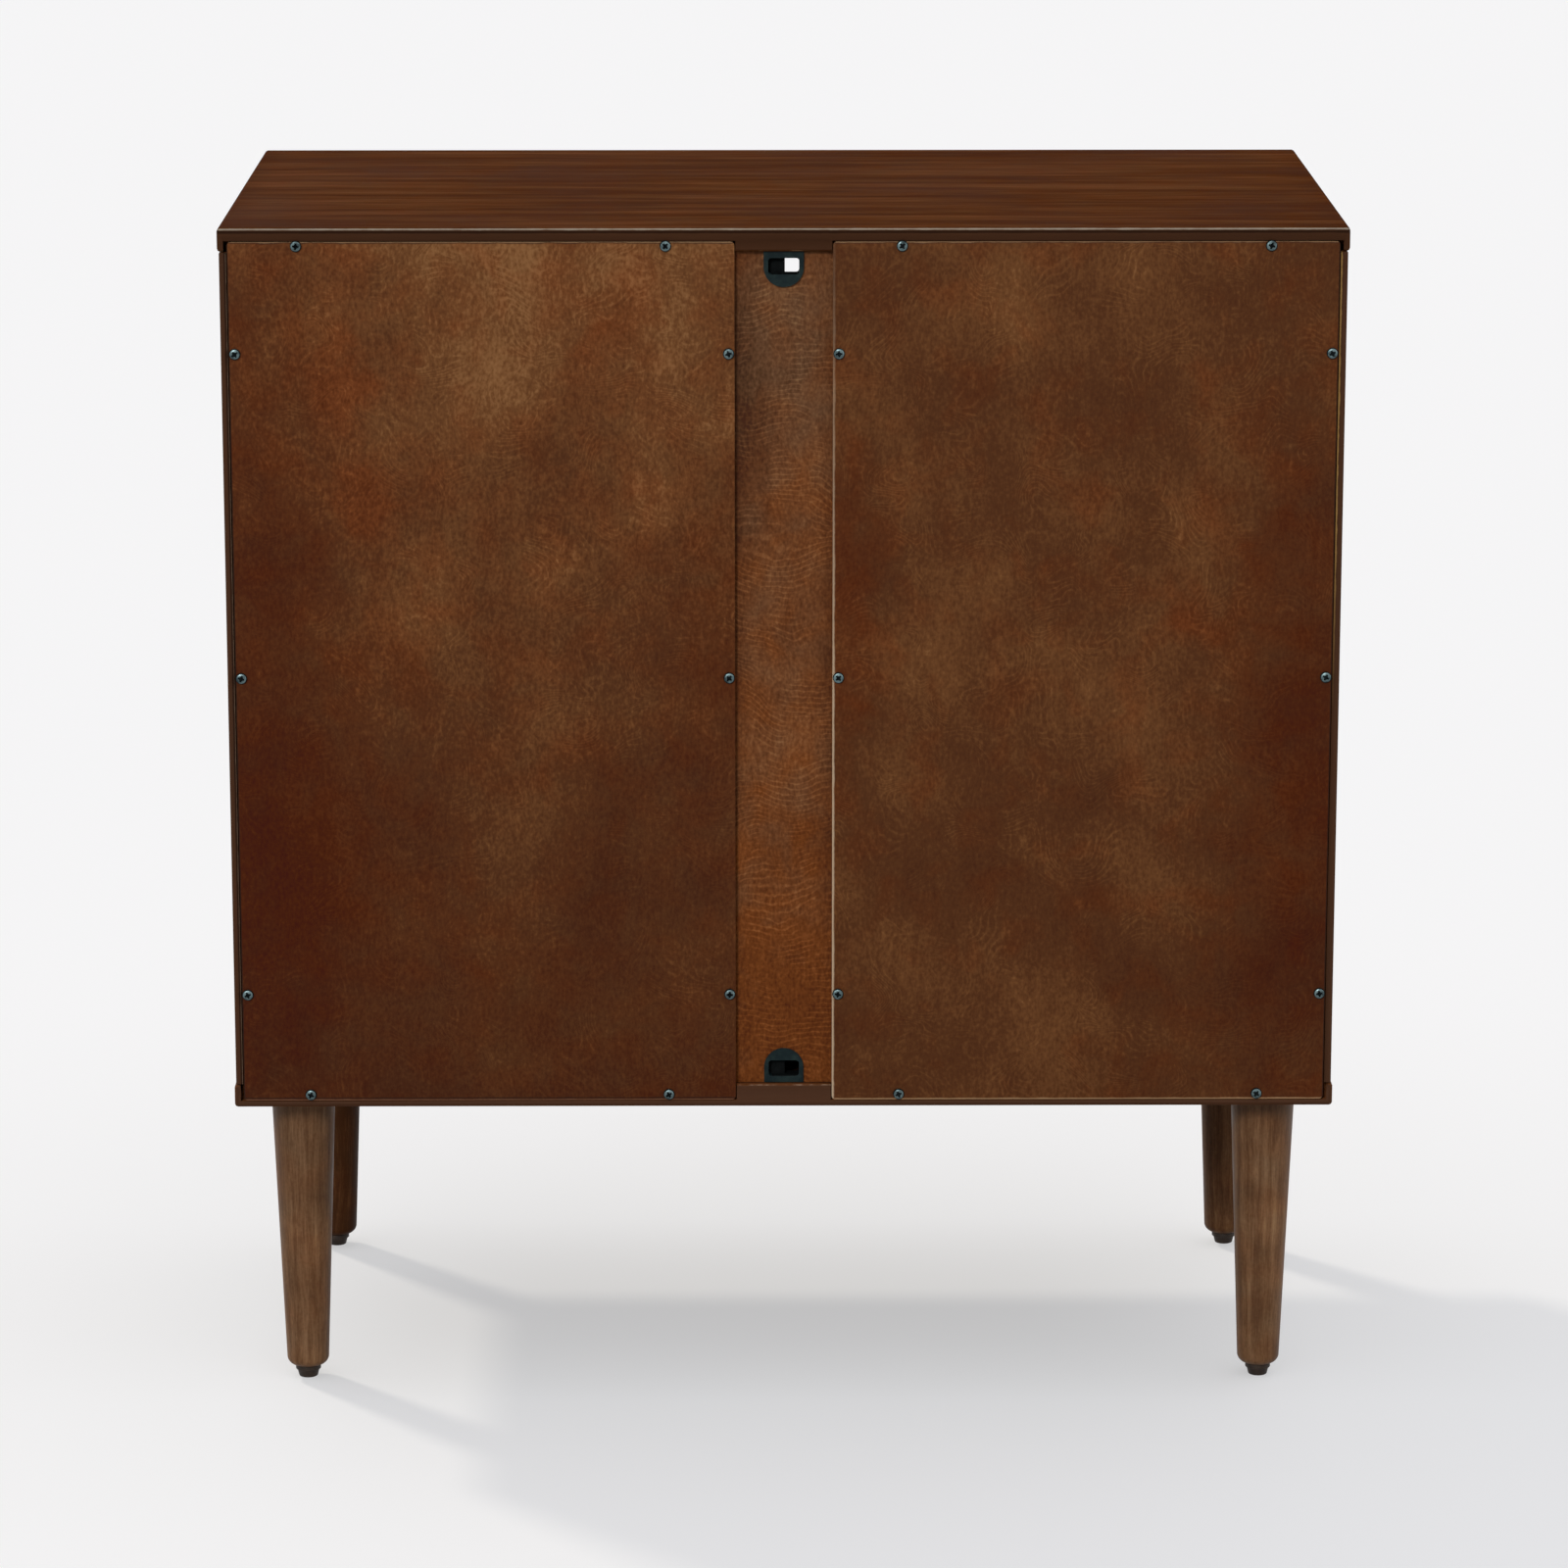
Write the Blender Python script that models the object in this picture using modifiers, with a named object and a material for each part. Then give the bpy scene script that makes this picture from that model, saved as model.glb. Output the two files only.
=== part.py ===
"""Console cabinet: a wooden case on four tapered legs, an open media bay over two hinged doors.

Metres, +Z up. The floor is z = 0 and the origin lies on it, under the middle of the whole object.
The doors face -Y and the screwed-on back panels face +Y. Left and right are those of someone who
stands in front of the doors, so left is -X.
"""

import math

import bmesh
import bpy
from mathutils import Matrix

# Overall case, and the clearance that every touching pair of pieces keeps
CASE_WIDTH = 0.711
CASE_DEPTH = 0.400
CASE_HEIGHT = 0.572
FIT = 0.0003

# Boards of the case
TOP_THICKNESS = 0.015
BOTTOM_THICKNESS = 0.015
SIDE_THICKNESS = 0.015
BAY_SHELF_THICKNESS = 0.015
DIVIDER_THICKNESS = 0.015
SIDE_INSET = 0.0012
SLAB_ROUNDING = 0.002
EDGE_EASING = 0.0006
BAY_HEIGHT = 0.130

# Grooves and tongues that join the boards
TONGUE_THICKNESS = 0.006
TONGUE_DEPTH = 0.006
TONGUE_SETBACK = 0.024
TONGUE_ROOT = 0.004
DADO_DEPTH = 0.005
DIVIDER_GROOVE = 0.004
DIVIDER_CABLE_GAP = 0.060

# Back: two thin panels in pockets, and the strip behind the gap between them
BACK_THICKNESS = 0.0055
BACK_CORNER_RADIUS = 0.0025
BACK_EDGE_EASING = 0.0005
SIDE_LIP = 0.0044
TOP_LIP = 0.0080
BOTTOM_LIP = 0.0040
PANEL_PLAY = 0.0006
POCKET_END_PLAY = 0.0022
EXPOSED_STRIP_WIDTH = 0.062
STRIP_OVERLAP = 0.013
STRIP_THICKNESS = 0.012
STRIP_TENON = 0.004

# Pan head screws with a cross recess
SCREW_HEAD_RADIUS = 0.0036
SCREW_HEAD_HEIGHT = 0.0020
SCREW_DOME = ((0.0, 0.0), (0.60, 0.04), (0.86, 0.20), (0.98, 0.55))  # shares of radius, and of height down
SCREW_SHANK_RADIUS = 0.00125
SCREW_SHANK_LENGTH = 0.0135
SCREW_TIP_LENGTH = 0.0025
SCREW_HOLE_PLAY = 0.00015
RECESS_SPAN = 0.0038
RECESS_WIDTH = 0.0009
RECESS_DEPTH = 0.0011
SCREW_EDGE_INSET = 0.0038
SCREW_TOP_INSET = 0.0026
SCREW_BOTTOM_INSET = 0.0040
ROW_SCREW_INSET = 0.0433
COLUMN_SCREW_SPACING = 0.2085

# Cable grommets: a D-shaped flange, a sleeve through the strip, and a flap over part of the hole
GROMMET_WIDTH = 0.0254
GROMMET_STRAIGHT = 0.0099
FLANGE_THICKNESS = 0.0016
FLANGE_ROUNDING = 0.0006
CABLE_HOLE_WIDTH = 0.0196
CABLE_HOLE_HEIGHT = 0.0104
CABLE_HOLE_RADIUS = 0.0020
HOLE_TO_FLAT = 0.0042
SLEEVE_WALL = 0.0012
SLEEVE_LENGTH = 0.0115
FLAP_WIDTH = 0.0105
FLAP_THICKNESS = 0.0010
FLAP_DEPTH = 0.0040
FLAP_ROOT = 0.0006

# Shelf behind each door, on a cleat at either side
SHELF_THICKNESS = 0.015
SHELF_HEIGHT = 0.186
SHELF_SIDE_PLAY = 0.001
SHELF_FRONT_SETBACK = 0.024
SHELF_REAR_GAP = 0.010
CLEAT_SECTION = 0.012
CLEAT_SETBACK = 0.020

# Doors, inset between the sides and flush with their front edges
DOOR_THICKNESS = 0.016
DOOR_REVEAL = 0.0025
DOOR_MEETING_GAP = 0.003

# Butt hinges: the pin is part of the leaf on the case
LEAF_THICKNESS = 0.001
LEAF_BACK_MARGIN = 0.0025
LEAF_CORNER_RADIUS = 0.002
HINGE_LENGTH = 0.050
KNUCKLE_RADIUS = 0.003
PIN_RADIUS = 0.0012
PIN_PLAY = 0.00015
PIN_HEAD_HEIGHT = 0.001
HINGE_TO_DOOR_END = 0.055

# Turned knobs
KNOB_RADIUS = 0.0110
KNOB_NECK_RADIUS = 0.0050
KNOB_BASE_RADIUS = 0.0080
KNOB_BASE_THICKNESS = 0.0030
KNOB_PROJECTION = 0.0250
KNOB_NECK_ANGLE = -45
KNOB_POST_RADIUS = 0.0020
KNOB_POST_LENGTH = 0.0100
KNOB_EDGE_INSET = 0.034
KNOB_DROP = 0.150

# Double magnetic catch and the strike plates on the doors
CATCH_WIDTH = 0.046
CATCH_HEIGHT = 0.012
CATCH_DEPTH = 0.014
CATCH_ROUNDING = 0.0010
CATCH_CLEARANCE = 0.003
STRIKE_WIDTH = 0.014
STRIKE_HEIGHT = 0.008
STRIKE_THICKNESS = 0.001
STRIKE_CORNER_RADIUS = 0.001
STRIKE_OFFSET = 0.012
STRIKE_DROP = 0.001

# Legs with hanger bolts, and levelling glides
LEG_LENGTH = 0.1914
LEG_TOP_RADIUS = 0.021
LEG_FOOT_RADIUS = 0.0138
LEG_TOP_EASING = 0.0008
LEG_FOOT_ROUNDING = 0.006
LEG_SIDE_INSET = 0.0405
LEG_DEPTH_INSET = 0.054
BOLT_RADIUS = 0.004
BOLT_LENGTH = 0.0095
GLIDE_HEIGHT = 0.008
GLIDE_TOP_RADIUS = 0.0083
GLIDE_FOOT_RADIUS = 0.0063
GLIDE_TRAVEL = 0.008
STEM_RADIUS = 0.003
STEM_GRIP = 0.014
STEM_PLAY = 0.0003

# Facets of the round pieces
LEG_STEPS = 24
KNOB_STEPS = 16
GLIDE_STEPS = 16
SCREW_STEPS = 10
BARREL_STEPS = 12
ARC_STEPS = 4
DOME_STEPS = 6
HALF_TURN_STEPS = 12

# Angles in degrees at which an edge is rounded or shaded sharp, and the distance that welds points
ROUNDED_ANGLE = 50
SHARP_ANGLE = 35
WELD_DISTANCE = 0.00001

# Places that follow from the sizes above
CASE_CENTER_Y = (KNOB_PROJECTION - SCREW_HEAD_HEIGHT - FIT) / 2
CASE_FRONT_Y = CASE_CENTER_Y - CASE_DEPTH / 2
CASE_BACK_Y = CASE_CENTER_Y + CASE_DEPTH / 2
LEG_BOTTOM_Z = GLIDE_HEIGHT + FIT
LEG_TOP_Z = LEG_BOTTOM_Z + LEG_LENGTH
CASE_BOTTOM_Z = LEG_TOP_Z + FIT
CASE_TOP_Z = CASE_BOTTOM_Z + CASE_HEIGHT
INNER_BOTTOM_Z = CASE_BOTTOM_Z + BOTTOM_THICKNESS
INNER_TOP_Z = CASE_TOP_Z - TOP_THICKNESS
BAY_FLOOR_Z = INNER_TOP_Z - BAY_HEIGHT
BAY_UNDERSIDE_Z = BAY_FLOOR_Z - BAY_SHELF_THICKNESS
SIDE_OUTER_X = CASE_WIDTH / 2 - SIDE_INSET
SIDE_INNER_X = SIDE_OUTER_X - SIDE_THICKNESS
BACK_FACE_Y = CASE_BACK_Y - BACK_THICKNESS
SEAT_Y = BACK_FACE_Y - FIT
STRIP_FRONT_Y = SEAT_Y - STRIP_THICKNESS
STRIP_HALF_WIDTH = EXPOSED_STRIP_WIDTH / 2 + STRIP_OVERLAP
PANEL_INNER_X = EXPOSED_STRIP_WIDTH / 2
PANEL_OUTER_X = SIDE_OUTER_X - SIDE_LIP - PANEL_PLAY
PANEL_BOTTOM_Z = CASE_BOTTOM_Z + BOTTOM_LIP + PANEL_PLAY
PANEL_TOP_Z = CASE_TOP_Z - TOP_LIP - PANEL_PLAY
DOOR_BACK_Y = CASE_FRONT_Y + DOOR_THICKNESS
DOOR_BOTTOM_Z = INNER_BOTTOM_Z + DOOR_REVEAL
DOOR_TOP_Z = BAY_UNDERSIDE_Z - DOOR_REVEAL
LEAF_WIDTH = DOOR_THICKNESS - LEAF_BACK_MARGIN
HINGE_GAP = 2 * LEAF_THICKNESS + 3 * FIT
DOOR_OUTER_X = SIDE_INNER_X - HINGE_GAP
PIN_X = SIDE_INNER_X - HINGE_GAP / 2
PIN_Y = CASE_FRONT_Y - KNUCKLE_RADIUS - FIT
KNOB_X = DOOR_MEETING_GAP / 2 + KNOB_EDGE_INSET
KNOB_Z = DOOR_TOP_Z - KNOB_DROP
CATCH_FRONT_Y = DOOR_BACK_Y + STRIKE_THICKNESS + 2 * FIT
CATCH_BACK_Y = CATCH_FRONT_Y + CATCH_DEPTH
CATCH_TOP_Z = BAY_UNDERSIDE_Z - FIT
DIVIDER_FRONT_Y = CATCH_BACK_Y + CATCH_CLEARANCE
DIVIDER_BACK_Y = STRIP_FRONT_Y - DIVIDER_CABLE_GAP
SHELF_BOTTOM_Z = INNER_BOTTOM_Z + SHELF_HEIGHT
SHELF_FRONT_Y = DOOR_BACK_Y + SHELF_FRONT_SETBACK
SHELF_BACK_Y = STRIP_FRONT_Y - SHELF_REAR_GAP
STEM_LENGTH = GLIDE_TRAVEL + STEM_GRIP
LEG_X = CASE_WIDTH / 2 - LEG_SIDE_INSET
LEG_Y = CASE_DEPTH / 2 - LEG_DEPTH_INSET
GROMMET_RADIUS = GROMMET_WIDTH / 2

PASS = 0.010  # how far a cutter runs past the face it cuts through
SIDES = {"left": -1, "right": 1}
Z_TO_Y = Matrix.Rotation(math.pi / 2, 3, "X")


def linear(hex_colour):
    """Turn an sRGB hex colour into linear RGBA."""
    channels = [int(hex_colour[i:i + 2], 16) / 255 for i in (0, 2, 4)]
    return [c / 12.92 if c <= 0.04045 else ((c + 0.055) / 1.055) ** 2.4 for c in channels] + [1.0]


def finish(name, hex_colour, roughness, metallic=0.0):
    """Make a Principled material with one colour."""
    material = bpy.data.materials.new(name)
    material.use_nodes = True
    shader = material.node_tree.nodes["Principled BSDF"]
    shader.inputs["Base Color"].default_value = linear(hex_colour)
    shader.inputs["Roughness"].default_value = roughness
    shader.inputs["Metallic"].default_value = metallic
    return material


def clear_scene():
    """Remove whatever the scene holds."""
    for thing in list(bpy.data.objects):
        bpy.data.objects.remove(thing, do_unlink=True)


def move_to(thing, collection):
    """Link an object to one collection only."""
    for holder in list(thing.users_collection):
        holder.objects.unlink(thing)
    collection.objects.link(thing)


def box(name, low, high, collection):
    """A box between two corners, its origin in the middle."""
    middle = [(a + b) / 2 for a, b in zip(low, high)]
    bpy.ops.mesh.primitive_cube_add(size=1, location=middle)
    thing = bpy.context.active_object
    thing.name = name
    thing.scale = [b - a for a, b in zip(low, high)]
    bpy.ops.object.transform_apply(location=False, rotation=False, scale=True)
    move_to(thing, collection)
    return thing


def round_edges(thing, width, segments=2):
    """Round every sharp edge of a piece."""
    bevel = thing.modifiers.new("rounded edges", "BEVEL")
    bevel.width = width
    bevel.segments = segments
    bevel.limit_method = "ANGLE"
    bevel.angle_limit = math.radians(ROUNDED_ANGLE)


def boolean(thing, other, operation):
    """Cut or join one mesh object with another."""
    modifier = thing.modifiers.new(operation.lower(), "BOOLEAN")
    modifier.operation = operation
    modifier.solver = "EXACT"
    modifier.object = other


def as_cutter(thing):
    """Show an object as a wire and leave it out of the model."""
    thing.hide_render = True
    thing.display_type = "WIRE"
    return thing


def cut_box(thing, low, high, cutters):
    """Cut a box-shaped recess out of a piece."""
    boolean(thing, as_cutter(box(thing.name + ".recess", low, high, cutters)), "DIFFERENCE")


def add_box(thing, low, high, cutters):
    """Join a box-shaped tongue to a piece."""
    boolean(thing, as_cutter(box(thing.name + ".tongue", low, high, cutters)), "UNION")


def cut_rods(thing, centres, radius, axis, steps, cutters):
    """Drill round holes along Y or Z. Each is ((x, y, z), length): its middle and its length."""
    mesh = bpy.data.meshes.new(thing.name + ".drill")
    shape = bmesh.new()
    for centre, length in centres:
        made = bmesh.ops.create_cone(shape, cap_ends=True, segments=steps, radius1=radius,
                                     radius2=radius, depth=length)
        if axis == "Y":
            bmesh.ops.rotate(shape, verts=made["verts"], cent=(0, 0, 0), matrix=Z_TO_Y)
        bmesh.ops.translate(shape, verts=made["verts"], vec=centre)
    shape.to_mesh(mesh)
    shape.free()
    cutter = as_cutter(bpy.data.objects.new(thing.name + ".drill", mesh))
    cutters.objects.link(cutter)
    boolean(thing, cutter, "DIFFERENCE")


def smooth(mesh):
    """Shade a mesh smooth apart from its sharp edges."""
    mesh.shade_smooth()
    mesh.set_sharp_from_angle(angle=math.radians(SHARP_ANGLE))


def baked(thing):
    """The evaluated mesh of an object, in its own axes; the object is removed."""
    bpy.context.view_layer.update()
    shown = thing.evaluated_get(bpy.context.evaluated_depsgraph_get())
    mesh = bpy.data.meshes.new_from_object(shown)
    mesh.name = thing.name
    bpy.data.objects.remove(thing, do_unlink=True)
    return mesh


def turned(name, profile, steps, collection):
    """A turned piece about Z. The profile runs down its outer side, from the axis to the axis."""
    mesh = bpy.data.meshes.new(name)
    points = [(radius, 0, height) for radius, height in profile]
    mesh.from_pydata(points, [(i, i + 1) for i in range(len(points) - 1)], [])
    thing = bpy.data.objects.new(name, mesh)
    collection.objects.link(thing)
    screw = thing.modifiers.new("turned", "SCREW")
    screw.steps = steps
    screw.render_steps = steps
    screw.use_merge_vertices = True
    screw.merge_threshold = WELD_DISTANCE
    solid = baked(thing)
    smooth(solid)
    piece = bpy.data.objects.new(name, solid)
    collection.objects.link(piece)
    return piece


def arc(centre, radius, start, end, steps):
    """Points along an arc in a plane, angles in degrees."""
    angles = [math.radians(start + (end - start) * i / steps) for i in range(steps + 1)]
    return [(centre[0] + radius * math.cos(a), centre[1] + radius * math.sin(a)) for a in angles]


def rounded_rectangle(width, height, radius):
    """The outline of a rectangle about (0, 0) with round corners."""
    across = width / 2 - radius
    up = height / 2 - radius
    corners = [((across, up), 0), ((-across, up), 90), ((-across, -up), 180), ((across, -up), 270)]
    outline = []
    for centre, start in corners:
        outline += arc(centre, radius, start, start + 90, ARC_STEPS)
    return outline


def plate(name, outline, thickness, collection):
    """A flat piece of an outline in X and Z, its thickness along Y about y = 0."""
    flat = bpy.data.curves.new(name, "CURVE")
    flat.dimensions = "2D"
    flat.fill_mode = "BOTH"
    flat.extrude = thickness / 2
    spline = flat.splines.new("POLY")
    spline.points.add(len(outline) - 1)
    for point, (across, up) in zip(spline.points, outline):
        point.co = (across, up, 0, 1)
    spline.use_cyclic_u = True
    outline_object = bpy.data.objects.new(name, flat)
    collection.objects.link(outline_object)
    mesh = baked(outline_object)
    bpy.data.curves.remove(flat)
    shape = bmesh.new()
    shape.from_mesh(mesh)
    bmesh.ops.remove_doubles(shape, verts=shape.verts, dist=WELD_DISTANCE)
    bmesh.ops.rotate(shape, verts=shape.verts, cent=(0, 0, 0), matrix=Z_TO_Y)
    shape.to_mesh(mesh)
    shape.free()
    thing = bpy.data.objects.new(name, mesh)
    collection.objects.link(thing)
    return thing


def dress(thing, material):
    """Give a piece its one material."""
    thing.data.materials.clear()
    thing.data.materials.append(material)


def back_screws():
    """Every screw of the back as (x, z, the board that it bites into), panel by panel."""
    middle_z = (PANEL_BOTTOM_Z + PANEL_TOP_Z) / 2
    rows = {"top_panel": PANEL_TOP_Z - SCREW_TOP_INSET, "bottom_panel": PANEL_BOTTOM_Z + SCREW_BOTTOM_INSET}
    row_x = (PANEL_INNER_X + ROW_SCREW_INSET, PANEL_OUTER_X - ROW_SCREW_INSET)
    screws = []
    for word, side in SIDES.items():
        screws += [(side * x, z, board) for board, z in rows.items() for x in row_x]
        columns = {"back_center_strip": PANEL_INNER_X + SCREW_EDGE_INSET,
                   f"side_panel_{word}": PANEL_OUTER_X - SCREW_EDGE_INSET}
        screws += [(side * x, middle_z + step * COLUMN_SCREW_SPACING, board)
                   for board, x in columns.items() for step in (1, 0, -1)]
    return screws


def drill_for_screws(thing, places, cutters):
    """Drill the holes of the back screws that pass into a piece, each place an x and z."""
    length = SCREW_SHANK_LENGTH + 2 * FIT
    deepest_y = CASE_BACK_Y - SCREW_SHANK_LENGTH
    holes = [((x, deepest_y + length / 2, z), length) for x, z in places]
    cut_rods(thing, holes, SCREW_SHANK_RADIUS + SCREW_HOLE_PLAY, "Y", SCREW_STEPS, cutters)


def drill_board(thing, cutters):
    """Drill the holes of the back screws that end in a board of the case."""
    drill_for_screws(thing, [(x, z) for x, z, board in back_screws() if board == thing.name], cutters)


def make_slabs(wood, cutters, collection):
    """The top and bottom panels, with pockets for the back and grooves for what stands in them."""
    half = CASE_WIDTH / 2
    top = box("top_panel", (-half, CASE_FRONT_Y, INNER_TOP_Z), (half, CASE_BACK_Y, CASE_TOP_Z), collection)
    bottom = box("bottom_panel", (-half, CASE_FRONT_Y, CASE_BOTTOM_Z),
                 (half, CASE_BACK_Y, INNER_BOTTOM_Z), collection)
    inner_end = PANEL_INNER_X - PANEL_PLAY
    outer_end = PANEL_OUTER_X + POCKET_END_PLAY
    for slab, low_z, high_z in ((top, INNER_TOP_Z - PASS, PANEL_TOP_Z + PANEL_PLAY),
                                (bottom, PANEL_BOTTOM_Z - PANEL_PLAY, INNER_BOTTOM_Z + PASS)):
        round_edges(slab, SLAB_ROUNDING)
        for side in SIDES.values():
            ends = sorted((side * inner_end, side * outer_end))
            cut_box(slab, (ends[0], SEAT_Y, low_z), (ends[1], CASE_BACK_Y + PASS, high_z), cutters)

    groove_half = TONGUE_THICKNESS / 2 + FIT
    side_middle = SIDE_OUTER_X - SIDE_THICKNESS / 2
    groove_front = CASE_FRONT_Y + TONGUE_SETBACK - FIT
    groove_back = CASE_BACK_Y - TONGUE_SETBACK + FIT
    strip_half = STRIP_HALF_WIDTH + FIT
    for slab, inner_z, outward in ((top, INNER_TOP_Z, 1), (bottom, INNER_BOTTOM_Z, -1)):
        groove_z = sorted((inner_z - outward * PASS, inner_z + outward * TONGUE_DEPTH))
        tenon_z = sorted((inner_z - outward * PASS, inner_z + outward * STRIP_TENON))
        for side in SIDES.values():
            middle = side * side_middle
            cut_box(slab, (middle - groove_half, groove_front, groove_z[0]),
                    (middle + groove_half, groove_back, groove_z[1]), cutters)
        cut_box(slab, (-strip_half, STRIP_FRONT_Y - FIT, tenon_z[0]),
                (strip_half, SEAT_Y + FIT, tenon_z[1]), cutters)

    divider_half = DIVIDER_THICKNESS / 2 + FIT
    cut_box(bottom, (-divider_half, DIVIDER_FRONT_Y - FIT, INNER_BOTTOM_Z - DIVIDER_GROOVE),
            (divider_half, DIVIDER_BACK_Y + FIT, INNER_BOTTOM_Z + PASS), cutters)
    bolt_holes = [((x, CASE_CENTER_Y + y, CASE_BOTTOM_Z), 2 * (BOLT_LENGTH + FIT)) for x, y in leg_places()]
    cut_rods(bottom, bolt_holes, BOLT_RADIUS + FIT, "Z", LEG_STEPS, cutters)
    for slab in (top, bottom):
        drill_board(slab, cutters)
        dress(slab, wood)


def leg_places():
    """The x and y of the legs, y from the middle of the case."""
    return [(side * LEG_X, end * LEG_Y) for end in (-1, 1) for side in SIDES.values()]


def make_sides(wood, cutters, collection):
    """The side panels, with a tongue at each end, a rebate for the back and a dado for the bay shelf."""
    for word, side in SIDES.items():
        faces = sorted((side * SIDE_INNER_X, side * SIDE_OUTER_X))
        low = (faces[0], CASE_FRONT_Y, INNER_BOTTOM_Z + FIT)
        high = (faces[1], CASE_BACK_Y, INNER_TOP_Z - FIT)
        panel = box(f"side_panel_{word}", low, high, collection)
        round_edges(panel, EDGE_EASING)
        middle = side * (SIDE_OUTER_X - SIDE_THICKNESS / 2)
        for end_z, outward in ((high[2], 1), (low[2], -1)):
            reach = sorted((end_z - outward * TONGUE_ROOT, end_z + outward * (TONGUE_DEPTH - FIT)))
            add_box(panel, (middle - TONGUE_THICKNESS / 2, CASE_FRONT_Y + TONGUE_SETBACK, reach[0]),
                    (middle + TONGUE_THICKNESS / 2, CASE_BACK_Y - TONGUE_SETBACK, reach[1]), cutters)
        rebate = sorted((side * (SIDE_INNER_X - PASS), side * (SIDE_OUTER_X - SIDE_LIP)))
        cut_box(panel, (rebate[0], SEAT_Y, low[2] - PASS),
                (rebate[1], CASE_BACK_Y + PASS, high[2] + PASS), cutters)
        dado = sorted((side * (SIDE_INNER_X - PASS), side * (SIDE_INNER_X + DADO_DEPTH)))
        cut_box(panel, (dado[0], CASE_FRONT_Y - PASS, BAY_UNDERSIDE_Z - FIT),
                (dado[1], SEAT_Y + PASS, BAY_FLOOR_Z + FIT), cutters)
        drill_board(panel, cutters)
        dress(panel, wood)


def make_inside_boards(wood, cutters, collection):
    """The shelf under the media bay, and the divider between the two door compartments."""
    reach = SIDE_INNER_X + DADO_DEPTH - FIT
    shelf = box("bay_shelf", (-reach, CASE_FRONT_Y, BAY_UNDERSIDE_Z),
                (reach, SEAT_Y, BAY_FLOOR_Z), collection)
    round_edges(shelf, EDGE_EASING)
    notch = STRIP_HALF_WIDTH + FIT
    cut_box(shelf, (-notch, STRIP_FRONT_Y - FIT, BAY_UNDERSIDE_Z - PASS),
            (notch, SEAT_Y + PASS, BAY_FLOOR_Z + PASS), cutters)
    groove = DIVIDER_THICKNESS / 2 + FIT
    cut_box(shelf, (-groove, DIVIDER_FRONT_Y - FIT, BAY_UNDERSIDE_Z - PASS),
            (groove, DIVIDER_BACK_Y + FIT, BAY_UNDERSIDE_Z + DIVIDER_GROOVE), cutters)
    dress(shelf, wood)

    half = DIVIDER_THICKNESS / 2
    seat = DIVIDER_GROOVE - FIT
    divider = box("center_divider", (-half, DIVIDER_FRONT_Y, INNER_BOTTOM_Z - seat),
                  (half, DIVIDER_BACK_Y, BAY_UNDERSIDE_Z + seat), collection)
    round_edges(divider, EDGE_EASING)
    dress(divider, wood)


def make_back(panel_wood, strip_wood, cutters, collection):
    """The two back panels in their pockets, and the strip that they are screwed to in the middle."""
    width = PANEL_OUTER_X - PANEL_INNER_X
    height = PANEL_TOP_Z - PANEL_BOTTOM_Z
    middle_z = (PANEL_BOTTOM_Z + PANEL_TOP_Z) / 2
    for word, side in SIDES.items():
        outline = rounded_rectangle(width, height, BACK_CORNER_RADIUS)
        panel = plate(f"back_panel_{word}", outline, BACK_THICKNESS, collection)
        middle_x = side * (PANEL_INNER_X + PANEL_OUTER_X) / 2
        panel.location = (middle_x, CASE_BACK_Y - BACK_THICKNESS / 2, middle_z)
        round_edges(panel, BACK_EDGE_EASING)
        drill_for_screws(panel, [(x, z) for x, z, _ in back_screws() if x * side > 0], cutters)
        dress(panel, panel_wood)

    tenon = STRIP_TENON - FIT
    strip = box("back_center_strip", (-STRIP_HALF_WIDTH, STRIP_FRONT_Y, INNER_BOTTOM_Z - tenon),
                (STRIP_HALF_WIDTH, SEAT_Y, INNER_TOP_Z + tenon), collection)
    drill_board(strip, cutters)
    for middle in grommet_hole_centres():
        sleeve = 2 * (SLEEVE_WALL + FIT)
        outline = rounded_rectangle(CABLE_HOLE_WIDTH + sleeve, CABLE_HOLE_HEIGHT + sleeve,
                                    CABLE_HOLE_RADIUS + sleeve / 2)
        cutter = as_cutter(plate("strip_hole", outline, STRIP_THICKNESS + 2 * PASS, cutters))
        cutter.location = (0, (STRIP_FRONT_Y + SEAT_Y) / 2, middle)
        boolean(strip, cutter, "DIFFERENCE")
    dress(strip, strip_wood)


def grommet_hole_centres():
    """The heights of the two cable holes, top first."""
    drop = FIT + HOLE_TO_FLAT + CABLE_HOLE_HEIGHT / 2
    return INNER_TOP_Z - drop, INNER_BOTTOM_Z + drop


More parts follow.
